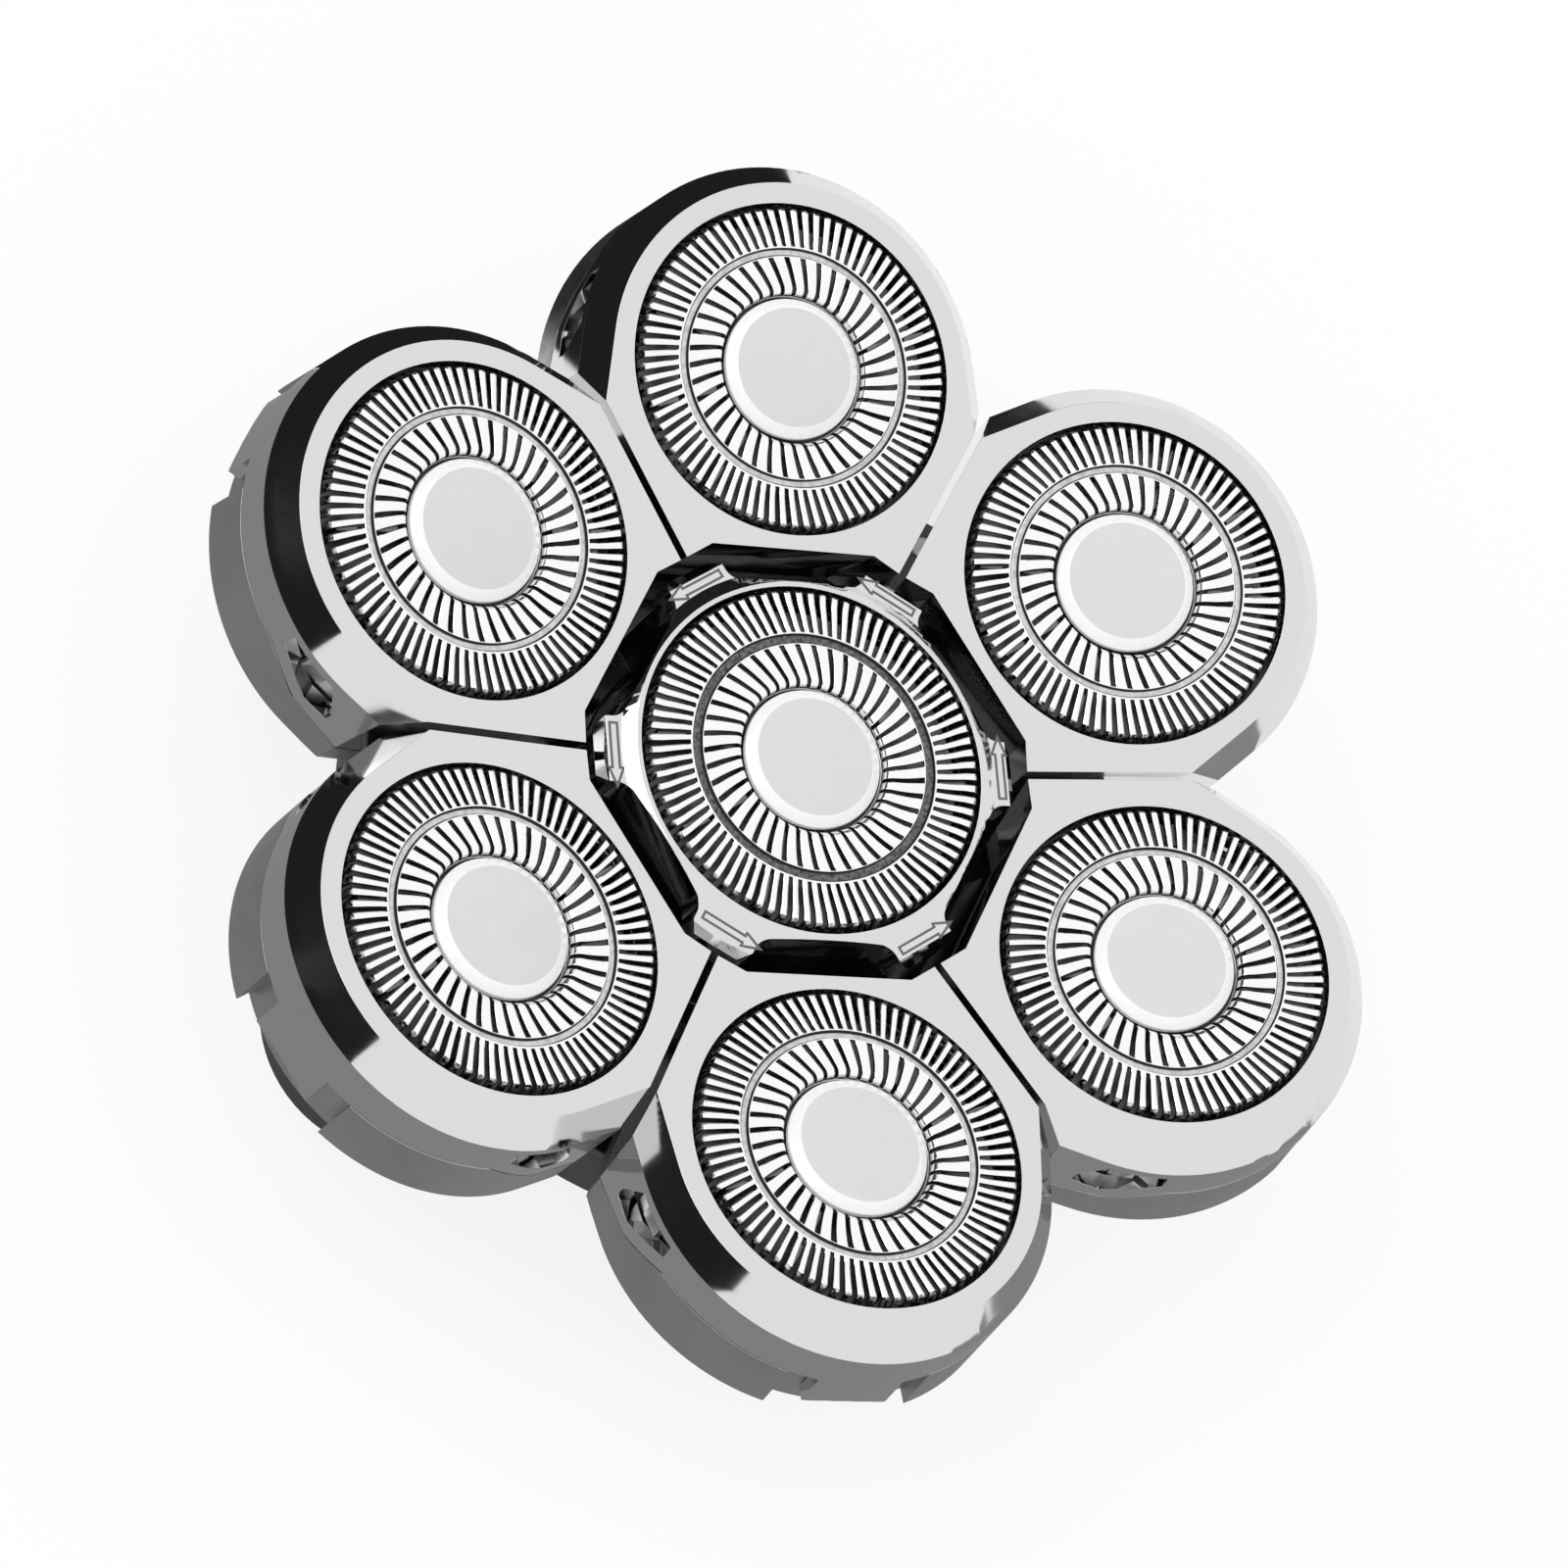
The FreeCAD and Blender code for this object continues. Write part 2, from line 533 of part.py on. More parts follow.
def make_cap():
    """Cap of an outer pod: chamfered skirt, bore, foil seat, tongue, dipped lower edge, windows."""
    body = new_body("cap_1")
    face = new_sketch(body)
    draw_outline(face, pod_outline(), POD_ARC_SIDE)
    pad(body, face, size("apron_depth"), upwards=False)

    inner_limit = pod_outline()[1][0].number - TINY
    dress_edges(body, "Chamfer", lambda edge: edge.BoundBox.ZMin > -TINY and edge.BoundBox.XMin > inner_limit,
                {"Size": size("cap_chamfer_depth"), "Size2": size("cap_chamfer_width")})

    bore = new_sketch(body)
    draw_circle(bore, size("cap_bore"))
    pocket(body, bore, THROUGH)
    seat = new_sketch(body, offset=-size("cap_lid"))
    draw_circle(seat, size("cap_bore") + size("foil_flange") - size("foil_gap") + size("parting_gap"))
    pocket(body, seat, THROUGH)
    cavity = new_sketch(body, offset=-size("cap_rib_depth"))
    draw_outline(cavity, pod_outline(size("cap_wall")), POD_ARC_SIDE)
    pocket(body, cavity, THROUGH)

    half = size("tongue_half_width")
    reach = CAP_RADIUS + OVERCUT
    tongue_radius = CAP_RADIUS - size("tongue_thickness")
    root = size_root(tongue_radius, half)
    below = new_sketch(body, offset=-size("parting_depth"))
    start = size("apron_start")
    draw_outline(below, [(start, -reach), (reach, -reach), (reach, -half), (root, -half),
                         (root, half), (reach, half), (reach, reach), (start, reach)], (3,))
    pocket(body, below, THROUGH)

    dip = new_sketch(body, "XZ_Plane")
    deep = size("tongue_depth") + OVERCUT
    draw_outline(dip, [(start, -size("parting_depth")), (size("apron_knee"), -size("apron_knee_depth")),
                       (-size("apron_end"), -size("apron_depth")), (-size("apron_end"), -deep),
                       (start, -deep)])
    pocket(body, dip, THROUGH, both_ways=True)

    window = new_sketch(body, "XZ_Plane")
    near = size("window_start")
    far = near + size("window_length")
    top = -size("window_top")
    bottom = top - size("window_depth")
    draw_outline(window, [(far, top), (far, top - size("window_far_height")),
                          (near + size("window_floor"), bottom), (near, bottom),
                          (near, bottom + size("window_near_height")),
                          (near + size("window_slope"), top)])
    pocket(body, window, THROUGH, both_ways=True)
    return body


def size_root(hypotenuse, side):
    """The other side of a right-angled triangle, as a size."""
    number = math.sqrt(hypotenuse.number ** 2 - side.number ** 2)
    return Size(number, f"sqrt({hypotenuse.formula} ^ 2 - {side.formula} ^ 2)")


def lengthen_tongue(body):
    """Adds the tongue's lower part, with its arched edge, to a cap."""
    radius = CAP_RADIUS - size("tongue_thickness")
    half = size("tongue_half_width")
    start = size("apron_depth") - MERGE
    strip = new_sketch(body, offset=-start)
    draw_outline(strip, ring_piece(radius, CAP_RADIUS, -half, half, along_x=False), (1, 3))
    pad(body, strip, size("tongue_depth") - start, upwards=False)
    arch = new_sketch(body, "YZ_Plane")
    low = size("tongue_depth")
    shoulder = -low + size("tongue_arch") * ARCH_SHOULDER
    draw_outline(arch, [(-half, -low), (-half / 2, shoulder), (0, -low + size("tongue_arch")),
                        (half / 2, shoulder), (half, -low), (half, -low - OVERCUT), (-half, -low - OVERCUT)])
    pocket(body, arch, THROUGH, upwards=True)
    return body


def ring_piece(inner, outer, start, end, along_x=True, side=1):
    """Corners of a piece cut from a ring between two radii, from one line across it to another.
    The lines are at given x on one side of the ring, or at given y on its outer end."""
    if along_x:
        return [(start, size_root(inner, start) * side), (start, size_root(outer, start) * side),
                (end, size_root(outer, end) * side), (end, size_root(inner, end) * side)]
    return [(size_root(inner, start), start), (size_root(outer, start), start),
            (size_root(outer, end), end), (size_root(inner, end), end)]


def make_shell():
    """Lower shell of an outer pod: skirt, floor, notch for the tongue, clips, pivot pin and its blocks."""
    body = new_body("shell_1")
    top = size("parting_depth") + size("parting_gap")
    rim = new_sketch(body, offset=-top)
    draw_outline(rim, pod_outline(), POD_ARC_SIDE)
    pad(body, rim, size("shell_depth") - top, upwards=False)

    wall = size("shell_wall")
    outline = pod_outline(wall)
    notch_radius = CAP_RADIUS - size("tongue_thickness") - size("notch_gap")
    chord = notch_radius - size("notch_back")
    half_chord = size_root(CAP_RADIUS - wall, chord)
    cavity = new_sketch(body, offset=-top)
    draw_outline(cavity, [(chord, half_chord)] + outline + [(chord, -half_chord)], (0, 8))
    pocket(body, cavity, size("shell_depth") - top - size("shell_floor"))

    clearance = size("parting_gap")
    above = new_sketch(body, "XZ_Plane")
    far = pod_outline()[2][0] - OVERCUT
    over = OVERCUT - top
    draw_outline(above, [(size("apron_start"), -top),
                         (size("apron_knee"), -size("apron_knee_depth") - clearance),
                         (-size("apron_end"), -size("apron_depth") - clearance),
                         (far, -size("apron_depth") - clearance), (far, over),
                         (size("apron_start"), over)])
    pocket(body, above, THROUGH, both_ways=True)

    notch = new_sketch(body, offset=-top)
    half = size("notch_half_width")
    reach = CAP_RADIUS + OVERCUT
    draw_outline(notch, [(reach, half), (size_root(notch_radius, half), half),
                         (size_root(notch_radius, half), -half), (reach, -half)], (1,))
    pocket(body, notch, THROUGH)

    hole = new_sketch(body, offset=-top)
    draw_circle(hole, size("spindle_hole"), spindle_offset(size("shell_depth")))
    pocket(body, hole, THROUGH)
    add_clips(body)
    add_pivot(body, top)

    rake = new_sketch(body, "XZ_Plane")
    low = -size("shell_depth")
    draw_outline(rake, [(0, low), (CAP_RADIUS, low + size("shell_rake")), (reach, low + size("shell_rake")),
                        (reach, low - OVERCUT), (0, low - OVERCUT)])
    pocket(body, rake, THROUGH, both_ways=True)
    return body


def add_clips(body):
    """Two upright clips on a shell's floor: each stands inside the cap's skirt, behind a window,
    with bevelled upper corners and a nose that snaps into the window."""
    outer = CAP_RADIUS - size("cap_wall") - size("clip_gap")
    inner = outer - size("clip_thickness")
    near = size("window_start") + size("clip_inset")
    far = size("window_start") + size("window_length") - size("clip_inset")
    foot = size("shell_depth") - size("shell_floor") + MERGE
    height = foot - size("clip_top")
    clip = new_sketch(body, offset=-foot)
    for side in (1, -1):
        draw_outline(clip, ring_piece(inner, outer, near, far, side=side), (1, 3))
    pad(body, clip, height)
    bevel = new_sketch(body, "XZ_Plane")
    top = -size("clip_top")
    cut = size("clip_bevel")
    for end, way in ((near, 1), (far, -1)):
        draw_outline(bevel, [(end + way * cut, top), (end, top - cut), (end - way * TINY, top - cut),
                             (end - way * TINY, top + TINY), (end + way * cut, top + TINY)])
    pocket(body, bevel, THROUGH, both_ways=True)

    middle = (near + far) / 2
    start = middle - size("nose_length") / 2
    end = middle + size("nose_length") / 2
    nose_bottom = size("clip_top") + cut * NOSE_SHARE + size("nose_height")
    nose = new_sketch(body, offset=-nose_bottom)
    tip = outer + size("nose_reach")
    for side in (1, -1):
        draw_outline(nose, ring_piece(outer - MERGE, tip, start, end, side=side), (1, 3))
    pad(body, nose, size("nose_height"))


def add_pivot(body, top):
    """Pivot pin across the shell's floor, in two blocks, with room between them for the lug."""
    at = -PIVOT_INSET
    side = size("lug_width") / 2 + size("lug_clearance")
    room = LUG_RADIUS + size("lug_clearance")
    slot = new_sketch(body, offset=-top)
    draw_outline(slot, [(at - room, -side), (at + room, -side), (at + room, side), (at - room, side)])
    pocket(body, slot, THROUGH)

    block_top = PIVOT_DEPTH - size("pivot_radius") - size("block_cover")
    half = size("block_half_width")
    blocks = new_sketch(body, offset=-block_top)
    for sign in (-1, 1):
        low = side * sign
        high = (side + size("block_length")) * sign
        draw_outline(blocks, [(at - half, low), (at + half, low), (at + half, high), (at - half, high)])
    pad(body, blocks, size("shell_depth") - block_top - size("block_foot"), upwards=False)
    pin = new_sketch(body, "XZ_Plane")
    draw_circle(pin, size("pivot_radius"), at, -PIVOT_DEPTH)
    pad(body, pin, (side + size("pin_bite")) * 2, both_ways=True)


def spindle_offset(depth):
    """Where the upright spindle crosses a plane of the tilted pod, from the pod's axis."""
    return (GEAR_DISTANCE - POD_CIRCLE - depth * sine(TILT)) / cosine(TILT)


def make_foil(label, bore, flange, outer_slots, inner_slots):
    """Slotted outer blade: a thin pressed sheet with two tracks, a ring between and a well."""
    body = new_body(label)
    sheet = size("foil_sheet")
    rise = size("foil_rise")
    wall = bore - size("foil_gap")
    track_out = wall - size("foil_shoulder")
    drop = rise - size("foil_drop")
    lid = size("cap_lid")
    ring_in = groove_radius(bore)
    ring_out = ring_in + size("groove_width")
    ring_low = rise - size("groove_depth")
    well = size("well_radius")
    track_in = well + size("well_bevel")
    floor = -size("well_depth")
    ease = sheet * SHEET_EASE
    outside = [(wall, drop), (track_out, rise), (ring_out, rise), (ring_out, ring_low),
               (ring_in, ring_low), (ring_in, rise), (track_in, rise), (well, rise - size("well_bevel")),
               (well, floor), (0, floor)]
    inside = [(0, floor - sheet), (well + sheet, floor - sheet),
              (well + sheet, rise - size("well_bevel") - ease),
              (track_in + ease, rise - sheet), (ring_in - sheet, rise - sheet),
              (ring_in - sheet, ring_low - sheet), (ring_out + sheet, ring_low - sheet),
              (ring_out + sheet, rise - sheet), (track_out - ease, rise - sheet), (wall - sheet, drop - ease)]
    if flange is None:
        foot = [(wall - sheet, -lid - sheet), (wall, -lid - sheet)]
    else:
        foot = [(wall - sheet, -lid - sheet), (wall + flange, -lid - sheet), (wall + flange, -lid),
                (wall, -lid)]
    profile = new_sketch(body, "XZ_Plane")
    draw_outline(profile, outside + inside + foot)
    revolve(body, profile)

    margin = size("slot_margin")
    outer = slot_sketch(body, ring_out + margin, wall + size("slot_overrun"), size("outer_slot_width"),
                        size("outer_slot_slant"))
    outer_cut = pocket(body, outer, OVERCUT + size("slot_depth"))
    repeat(body, [outer_cut], outer_slots)
    inner = slot_sketch(body, well - size("inner_slot_overrun"), ring_in - margin, size("inner_slot_width"),
                        size("inner_slot_slant"))
    inner_cut = pocket(body, inner, OVERCUT + size("inner_slot_depth"))
    repeat(body, [inner_cut], inner_slots)
    return body


def groove_radius(bore):
    """Inner radius of the ring midway between a foil's well and its outer edge."""
    track_out = bore - size("foil_gap") - size("foil_shoulder")
    track_in = size("well_radius") + size("well_bevel")
    return (track_in + track_out) / 2 - size("groove_width") / 2


def slot_sketch(body, start, end, width, slant):
    """One slanted slot, drawn above the face: a strip through the middle of its track."""
    sketch = new_sketch(body, offset=as_size(OVERCUT))
    middle = (start + end) / 2
    half = (end - start) / 2 / cosine(slant)
    side = width / 2
    corners = []
    for along, across in ((-1, -1), (1, -1), (1, 1), (-1, 1)):
        corners.append((middle + half * cosine(slant) * along - side * sine(slant) * across,
                        half * sine(slant) * along + side * cosine(slant) * across))
    draw_outline(sketch, corners)
    return sketch


def make_badge(label):
    """Plain bevelled disc in the foil's well."""
    body = new_body(label)
    radius = size("well_radius") - size("badge_gap")
    floor = -size("well_depth")
    profile = new_sketch(body, "XZ_Plane")
    draw_outline(profile, [(0, floor), (radius, floor), (radius, floor + size("badge_edge")),
                           (radius - size("badge_bevel"), size("badge_rise")), (0, size("badge_rise"))])
    revolve(body, profile)
    return body


def make_cutter(label, bore, blades):
    """Rotating cutter: a disc with upright blades under both tracks, and a boss with a hexagon socket."""
    body = new_body(label)
    reach = bore - size("foil_gap") - size("cutter_inset")
    top = -size("cutter_top")
    under = top - size("cutter_disc")
    profile = new_sketch(body, "XZ_Plane")
    draw_outline(profile, [(0, top), (reach, top), (reach, under), (size("boss_radius"), under),
                           (size("boss_radius"), -size("boss_bottom")), (0, -size("boss_bottom"))])
    revolve(body, profile)

    sheet = size("foil_sheet")
    tip = size("foil_rise") - sheet - size("cutter_gap")
    room = sheet + size("cutter_gap") + size("blade_spare")
    ring_in = groove_radius(bore) - room
    ring_out = groove_radius(bore) + size("groove_width") + room
    ring_low = tip - size("groove_depth") - size("blade_notch")
    inner = size("well_radius") + size("well_bevel") + size("blade_start")
    end = reach - size("blade_inset")
    root = top - MERGE
    blade = new_sketch(body, "XZ_Plane")
    draw_outline(blade, [(inner, root), (end, root), (end, tip), (ring_out, tip),
                         (ring_out, ring_low), (ring_in, ring_low), (ring_in, tip), (inner, tip)])
    fin = pad(body, blade, size("blade_thickness"), both_ways=True)
    repeat(body, [fin], blades)

    socket = new_sketch(body, offset=-size("boss_bottom"))
    draw_hexagon(socket, size("socket_flats"))
    pocket(body, socket, size("boss_bottom") - size("cutter_top") - size("socket_roof"), upwards=True)
    return body


def make_spindle(label, head_centre):
    """Drive spindle: hexagon head, neck, spring flange and hexagon shaft, about its own axis."""
    body = new_body(label)
    head_bottom = head_centre - size("head_height") / 2
    flange_top = head_bottom - size("neck_length")
    flange_bottom = flange_top - size("flange_thickness")
    neck_top = head_bottom + MERGE
    profile = new_sketch(body, "XZ_Plane")
    draw_outline(profile, [(0, neck_top), (size("neck_radius"), neck_top),
                           (size("neck_radius"), flange_top), (size("flange_radius"), flange_top),
                           (size("flange_radius"), flange_bottom), (0, flange_bottom)])
    revolve(body, profile)
    head = new_sketch(body, offset=head_bottom)
    draw_hexagon(head, size("head_flats"))
    pad(body, head, size("head_height"))
    shaft_top = flange_bottom + MERGE
    shaft = new_sketch(body, offset=shaft_top)
    draw_hexagon(shaft, size("shaft_flats"))
    shaft_end = GEAR_BOTTOM + size("bore_floor") + size("shaft_end_gap")
    pad(body, shaft, shaft_top - shaft_end, upwards=False)
    return body, flange_bottom


def make_spring(label, top, turns):
    """Compression spring of square wire between a gear's hub and the spindle's flange."""
    wire = size("spring_wire").number
    radius = size("spring_radius").number
    gap = size("spring_end_gap").number + wire / 2
    low = HUB_TOP.number + gap
    high = top.number - gap
    path = []
    for step in range(turns * SPRING_STEPS + 1):
        angle = 2 * math.pi * step / SPRING_STEPS
        height = low + (high - low) * step / (turns * SPRING_STEPS)
        path.append(FreeCAD.Vector(radius * math.cos(angle), radius * math.sin(angle), height))
    start = path[0]
    along = (path[1] - path[0]).normalize()
    out = FreeCAD.Vector(start.x, start.y, 0).normalize()
    up = along.cross(out)
    corners = []
    for a, b in ((-1, -1), (1, -1), (1, 1), (-1, 1), (-1, -1)):
        corners.append(start + out * (a * wire / 2) + up * (b * wire / 2))
    sweep = Part.BRepOffsetAPI.MakePipeShell(Part.makePolygon(path))
    sweep.setFrenetMode(False)
    sweep.setTransitionMode(1)
    sweep.add(Part.makePolygon(corners), False, False)
    sweep.build()
    sweep.makeSolid()
    spring = doc.addObject("Part::Feature", label)
    spring.Label = label
    spring.Shape = sweep.shape()
    return spring


def involute(angle):
    """The involute function of an angle."""
    return math.tan(angle) - angle


def tooth_half_width(teeth, radius_in_pitches):
    """Half width of a tooth in modules at a radius given in pitch radii, with no backlash."""
    base = math.cos(PRESSURE_ANGLE)
    ratio = min(1.0, base / radius_in_pitches)
    half_angle = math.pi / (2 * teeth) + involute(PRESSURE_ANGLE) - involute(math.acos(ratio))
    return half_angle * radius_in_pitches * teeth / 2


def add_teeth(body, teeth, pitch, turn):
    """Teeth with flanks through the involute's root, pitch and tip points, round a gear's blank."""
    play = size("backlash") / 4
    root = pitch - size("dedendum") * MODULE
    tip = pitch + size("addendum") * MODULE
    at_root = MODULE * tooth_half_width(teeth, root.number / pitch.number) - play
    at_pitch = MODULE * tooth_half_width(teeth, 1.0) - play
    at_tip = MODULE * tooth_half_width(teeth, tip.number / pitch.number) - play
    sketch = new_sketch(body, offset=GEAR_BOTTOM)
    left = [(root - TOOTH_ROOT, at_root), (root, at_root), (pitch, at_pitch), (tip, at_tip)]
    right = [(x, -y) for x, y in reversed(left)]
    draw_outline(sketch, turned(left + right, turn))
    tooth = pad(body, sketch, size("gear_thickness"))
    repeat(body, [tooth], teeth)


def turned(corners, angle):
    """Corners turned about the origin by an angle in degrees."""
    if not angle:
        return corners
    return [(x * cosine(angle) - y * sine(angle), x * sine(angle) + y * cosine(angle)) for x, y in corners]


def make_gear(label, teeth, pitch, hub, stub, stub_end, turn):
    """Spur gear with an upper hub, a lower journal and a blind hexagon bore for its spindle."""
    body = new_body(label)
    root = pitch - size("dedendum") * MODULE
    profile = new_sketch(body, "XZ_Plane")
    draw_outline(profile, [(0, stub_end), (stub, stub_end), (stub, GEAR_BOTTOM), (root, GEAR_BOTTOM),
                           (root, GEAR_TOP), (hub, GEAR_TOP), (hub, HUB_TOP), (0, HUB_TOP)])
    revolve(body, profile)
    add_teeth(body, teeth, pitch, turn)
    bore = new_sketch(body, offset=HUB_TOP)
    draw_hexagon(bore, size("shaft_flats") + size("shaft_clearance") * 2)
    pocket(body, bore, HUB_TOP - GEAR_BOTTOM - size("bore_floor"))
    return body


def make_coupling():
    """Drive coupling under the sun gear, with the socket for the handle's shaft."""
    body = new_body("drive_coupling")
    top = FLOOR_BOTTOM - size("sun_stub_reach")
    bottom = top - size("coupling_height")
    profile = new_sketch(body, offset=bottom)
    draw_circle(profile, size("coupling_radius"))
    pad(body, profile, size("coupling_height"))
    socket = new_sketch(body, offset=bottom)
    draw_hexagon(socket, size("coupling_flats"))
    pocket(body, socket, size("coupling_height") - size("coupling_roof"), upwards=True)
    return body


def add_lobed_plate(body, bottom, height):
    """Plate in the outline of the gearbox: a disc with a round lobe at each pinion."""
    disc = new_sketch(body, offset=bottom)
    draw_circle(disc, SUN_ROOM + size("web_wall"))
    pad(body, disc, height)
    lobe = new_sketch(body, offset=bottom)
    draw_circle(lobe, PINION_ROOM + size("housing_wall"), GEAR_DISTANCE)
    round_lobe = pad(body, lobe, height)
    repeat(body, [round_lobe], POD_COUNT)


def screw_places():
    """Middles of the three cover screws, in the housing's wall between every second pair of pods."""
    circle = SUN_ROOM + size("web_wall") / 2
    places = []
    for k in range(3):
        angle = HALF_PITCH + 120 * k
        x = circle * cosine(angle)
        y = circle * sine(angle)
        places.append((without_noise(x), without_noise(y)))
    return places


def without_noise(value):
    """A coordinate, or nought where only rounding keeps it off the axis."""
    return value if abs(value.number) > TINY else as_size(0)


def make_housing():
    """Gear housing: lobed tray with the gears' chambers and bearings, and the collar with its lugs."""
    body = new_body("gear_housing")
    add_lobed_plate(body, FLOOR_BOTTOM, COVER_BOTTOM - FLOOR_BOTTOM)
    sun_room = new_sketch(body, offset=COVER_BOTTOM)
    draw_circle(sun_room, SUN_ROOM)
    pocket(body, sun_room, COVER_BOTTOM - FLOOR_TOP)
    pinion_room = new_sketch(body, offset=COVER_BOTTOM)
    draw_circle(pinion_room, PINION_ROOM, GEAR_DISTANCE)
    room = pocket(body, pinion_room, COVER_BOTTOM - FLOOR_TOP)
    bearing = new_sketch(body, offset=FLOOR_TOP)
    draw_circle(bearing, size("pinion_stub") + size("journal_clearance"), GEAR_DISTANCE)
    seat = pocket(body, bearing, size("stub_bore_depth"))
    repeat(body, [room, seat], POD_COUNT)
    centre = new_sketch(body, offset=FLOOR_TOP)
    draw_circle(centre, size("sun_stub") + size("journal_clearance"))
    pocket(body, centre, size("housing_floor"))
    groove = new_sketch(body, offset=FLOOR_BOTTOM)
    draw_circle(groove, SEAL_INNER)
    draw_circle(groove, SEAL_INNER + size("seal_width"))
    pocket(body, groove, size("seal_depth"), upwards=True)

    collar = new_sketch(body)
    draw_circle(collar, size("collar_radius"))
    draw_circle(collar, size("collar_radius") - size("collar_wall"))
    pad(body, collar, FLOOR_BOTTOM)
    lug = new_sketch(body, offset=size("lock_base"))
    end = size("collar_radius") - size("collar_wall") / 2
    start = size("collar_radius") - size("collar_wall") - size("lock_reach")
    half = size("lock_half_width")
    draw_outline(lug, [(start, -half), (end, -half), (end, half), (start, half)])
    lock = pad(body, lug, size("lock_height"))
    repeat(body, [lock], 3)

    holes = new_sketch(body)
    heads = new_sketch(body)
    for x, y in screw_places():
        draw_circle(holes, size("screw_radius") + size("screw_clearance"), x, y)
        draw_circle(heads, size("screw_head") + size("screw_clearance"), x, y)
    pocket(body, holes, THROUGH, upwards=True)
    pocket(body, heads, FLOOR_BOTTOM + size("screw_head_height"), upwards=True)
    return body


def make_cover():
    """Gear cover: lobed plate, black tower with its spigot, posts under the lobes, pivot lugs."""
    body = new_body("gear_cover")
    add_lobed_plate(body, COVER_BOTTOM, size("cover_thickness"))
    tower_top = FACE_HEIGHT - size("centre_skirt") - size("seat_gap")
    tower = new_sketch(body, offset=COVER_TOP)
    draw_circle(tower, TOWER_RADIUS)
    draw_circle(tower, TOWER_RADIUS - size("tower_wall"))
    pad(body, tower, tower_top - COVER_TOP)
    spigot_radius = CENTRE_BORE - size("spigot_clearance")
    spigot_top = FACE_HEIGHT - size("cap_lid") - size("foil_sheet") - size("seat_gap")
    spigot = new_sketch(body, offset=tower_top)
    draw_circle(spigot, spigot_radius)
    draw_circle(spigot, spigot_radius - size("spigot_wall"))
    pad(body, spigot, spigot_top - tower_top)

    posts = new_sketch(body, offset=COVER_TOP)
    inner = TOWER_RADIUS - size("tower_wall") / 2
    outer = LOBE_REACH - size("post_inset")
    half = size("post_half_width")
    draw_outline(posts, turned([(inner, -half), (outer, -half), (outer, half), (inner, half)], HALF_PITCH))
    post = pad(body, posts, tower_top - COVER_TOP)

    stem = new_sketch(body, "XZ_Plane")
    near = PIVOT_RADIUS_AT - LUG_RADIUS
    far = PIVOT_RADIUS_AT + LUG_RADIUS
    root = COVER_TOP - MERGE
    draw_outline(stem, [(near, root), (far, root), (far, PIVOT_HEIGHT), (near, PIVOT_HEIGHT)])
    stem_pad = pad(body, stem, size("lug_width"), both_ways=True)
    eye = new_sketch(body, "XZ_Plane")
    draw_circle(eye, LUG_RADIUS, PIVOT_RADIUS_AT, PIVOT_HEIGHT)
    eye_pad = pad(body, eye, size("lug_width"), both_ways=True)
    hole = new_sketch(body, "XZ_Plane")
    draw_circle(hole, size("pivot_radius") + size("pivot_clearance"), PIVOT_RADIUS_AT, PIVOT_HEIGHT)
    hole_cut = pocket(body, hole, size("lug_width") + OVERCUT, both_ways=True)
    mouth = new_sketch(body, "XZ_Plane")
    gape = size("pivot_radius") * MOUTH_SHARE
    mouth_top = PIVOT_HEIGHT + LUG_RADIUS + OVERCUT
    draw_outline(mouth, [(PIVOT_RADIUS_AT - gape, PIVOT_HEIGHT), (PIVOT_RADIUS_AT + gape, PIVOT_HEIGHT),
                         (PIVOT_RADIUS_AT + gape, mouth_top), (PIVOT_RADIUS_AT - gape, mouth_top)])
    mouth_cut = pocket(body, mouth, size("lug_width") + OVERCUT, both_ways=True)
    hub = new_sketch(body, offset=COVER_TOP)
    draw_circle(hub, size("pinion_hub") + size("journal_clearance"), GEAR_DISTANCE)
    hub_cut = pocket(body, hub, size("cover_thickness"))
    repeat(body, [post, stem_pad, eye_pad, hole_cut, mouth_cut, hub_cut], POD_COUNT)

    centre = new_sketch(body, offset=COVER_TOP)
    draw_circle(centre, size("sun_hub") + size("journal_clearance"))
    pocket(body, centre, size("cover_thickness"))
    holes = new_sketch(body, offset=COVER_BOTTOM)
    for x, y in screw_places():
        draw_circle(holes, size("screw_radius") + size("screw_clearance"), x, y)
    pocket(body, holes, size("cover_thickness"), upwards=True)
    return body


def make_screws():
    """Three screws from below that hold the cover on the housing."""
    body = new_body("cover_screw")
    head = new_sketch(body, offset=FLOOR_BOTTOM)
    draw_circle(head, size("screw_head"))
    pad(body, head, size("screw_head_height"))
    shank = new_sketch(body, offset=FLOOR_BOTTOM)
    draw_circle(shank, size("screw_radius"))
    pad(body, shank, COVER_TOP - FLOOR_BOTTOM)
    slot = new_sketch(body, offset=FLOOR_BOTTOM)
    half = size("driver_slot_width") / 2
    long = size("driver_slot_length") / 2
    draw_outline(slot, [(-long, -half), (long, -half), (long, half), (-long, half)])
    pocket(body, slot, size("driver_slot_depth"), upwards=True)
    doc.recompute()
    solids = []
    for x, y in screw_places():
        copy = body.Shape.copy()
        copy.translate(FreeCAD.Vector(x.number, y.number, 0))
        solids.append(copy)
    group = doc.addObject("Part::Feature", "cover_screws")
    group.Label = "cover_screws"
    group.Shape = Part.makeCompound(solids)
    return group


def make_seal():
    """Flat rubber ring in the housing's groove round the collar."""
    body = new_body("collar_seal")
    ring = new_sketch(body, offset=FLOOR_BOTTOM)
    draw_circle(ring, SEAL_INNER + size("seal_play"))
    draw_circle(ring, SEAL_INNER + size("seal_width") - size("seal_play"))
    pad(body, ring, size("seal_depth"))
    return body


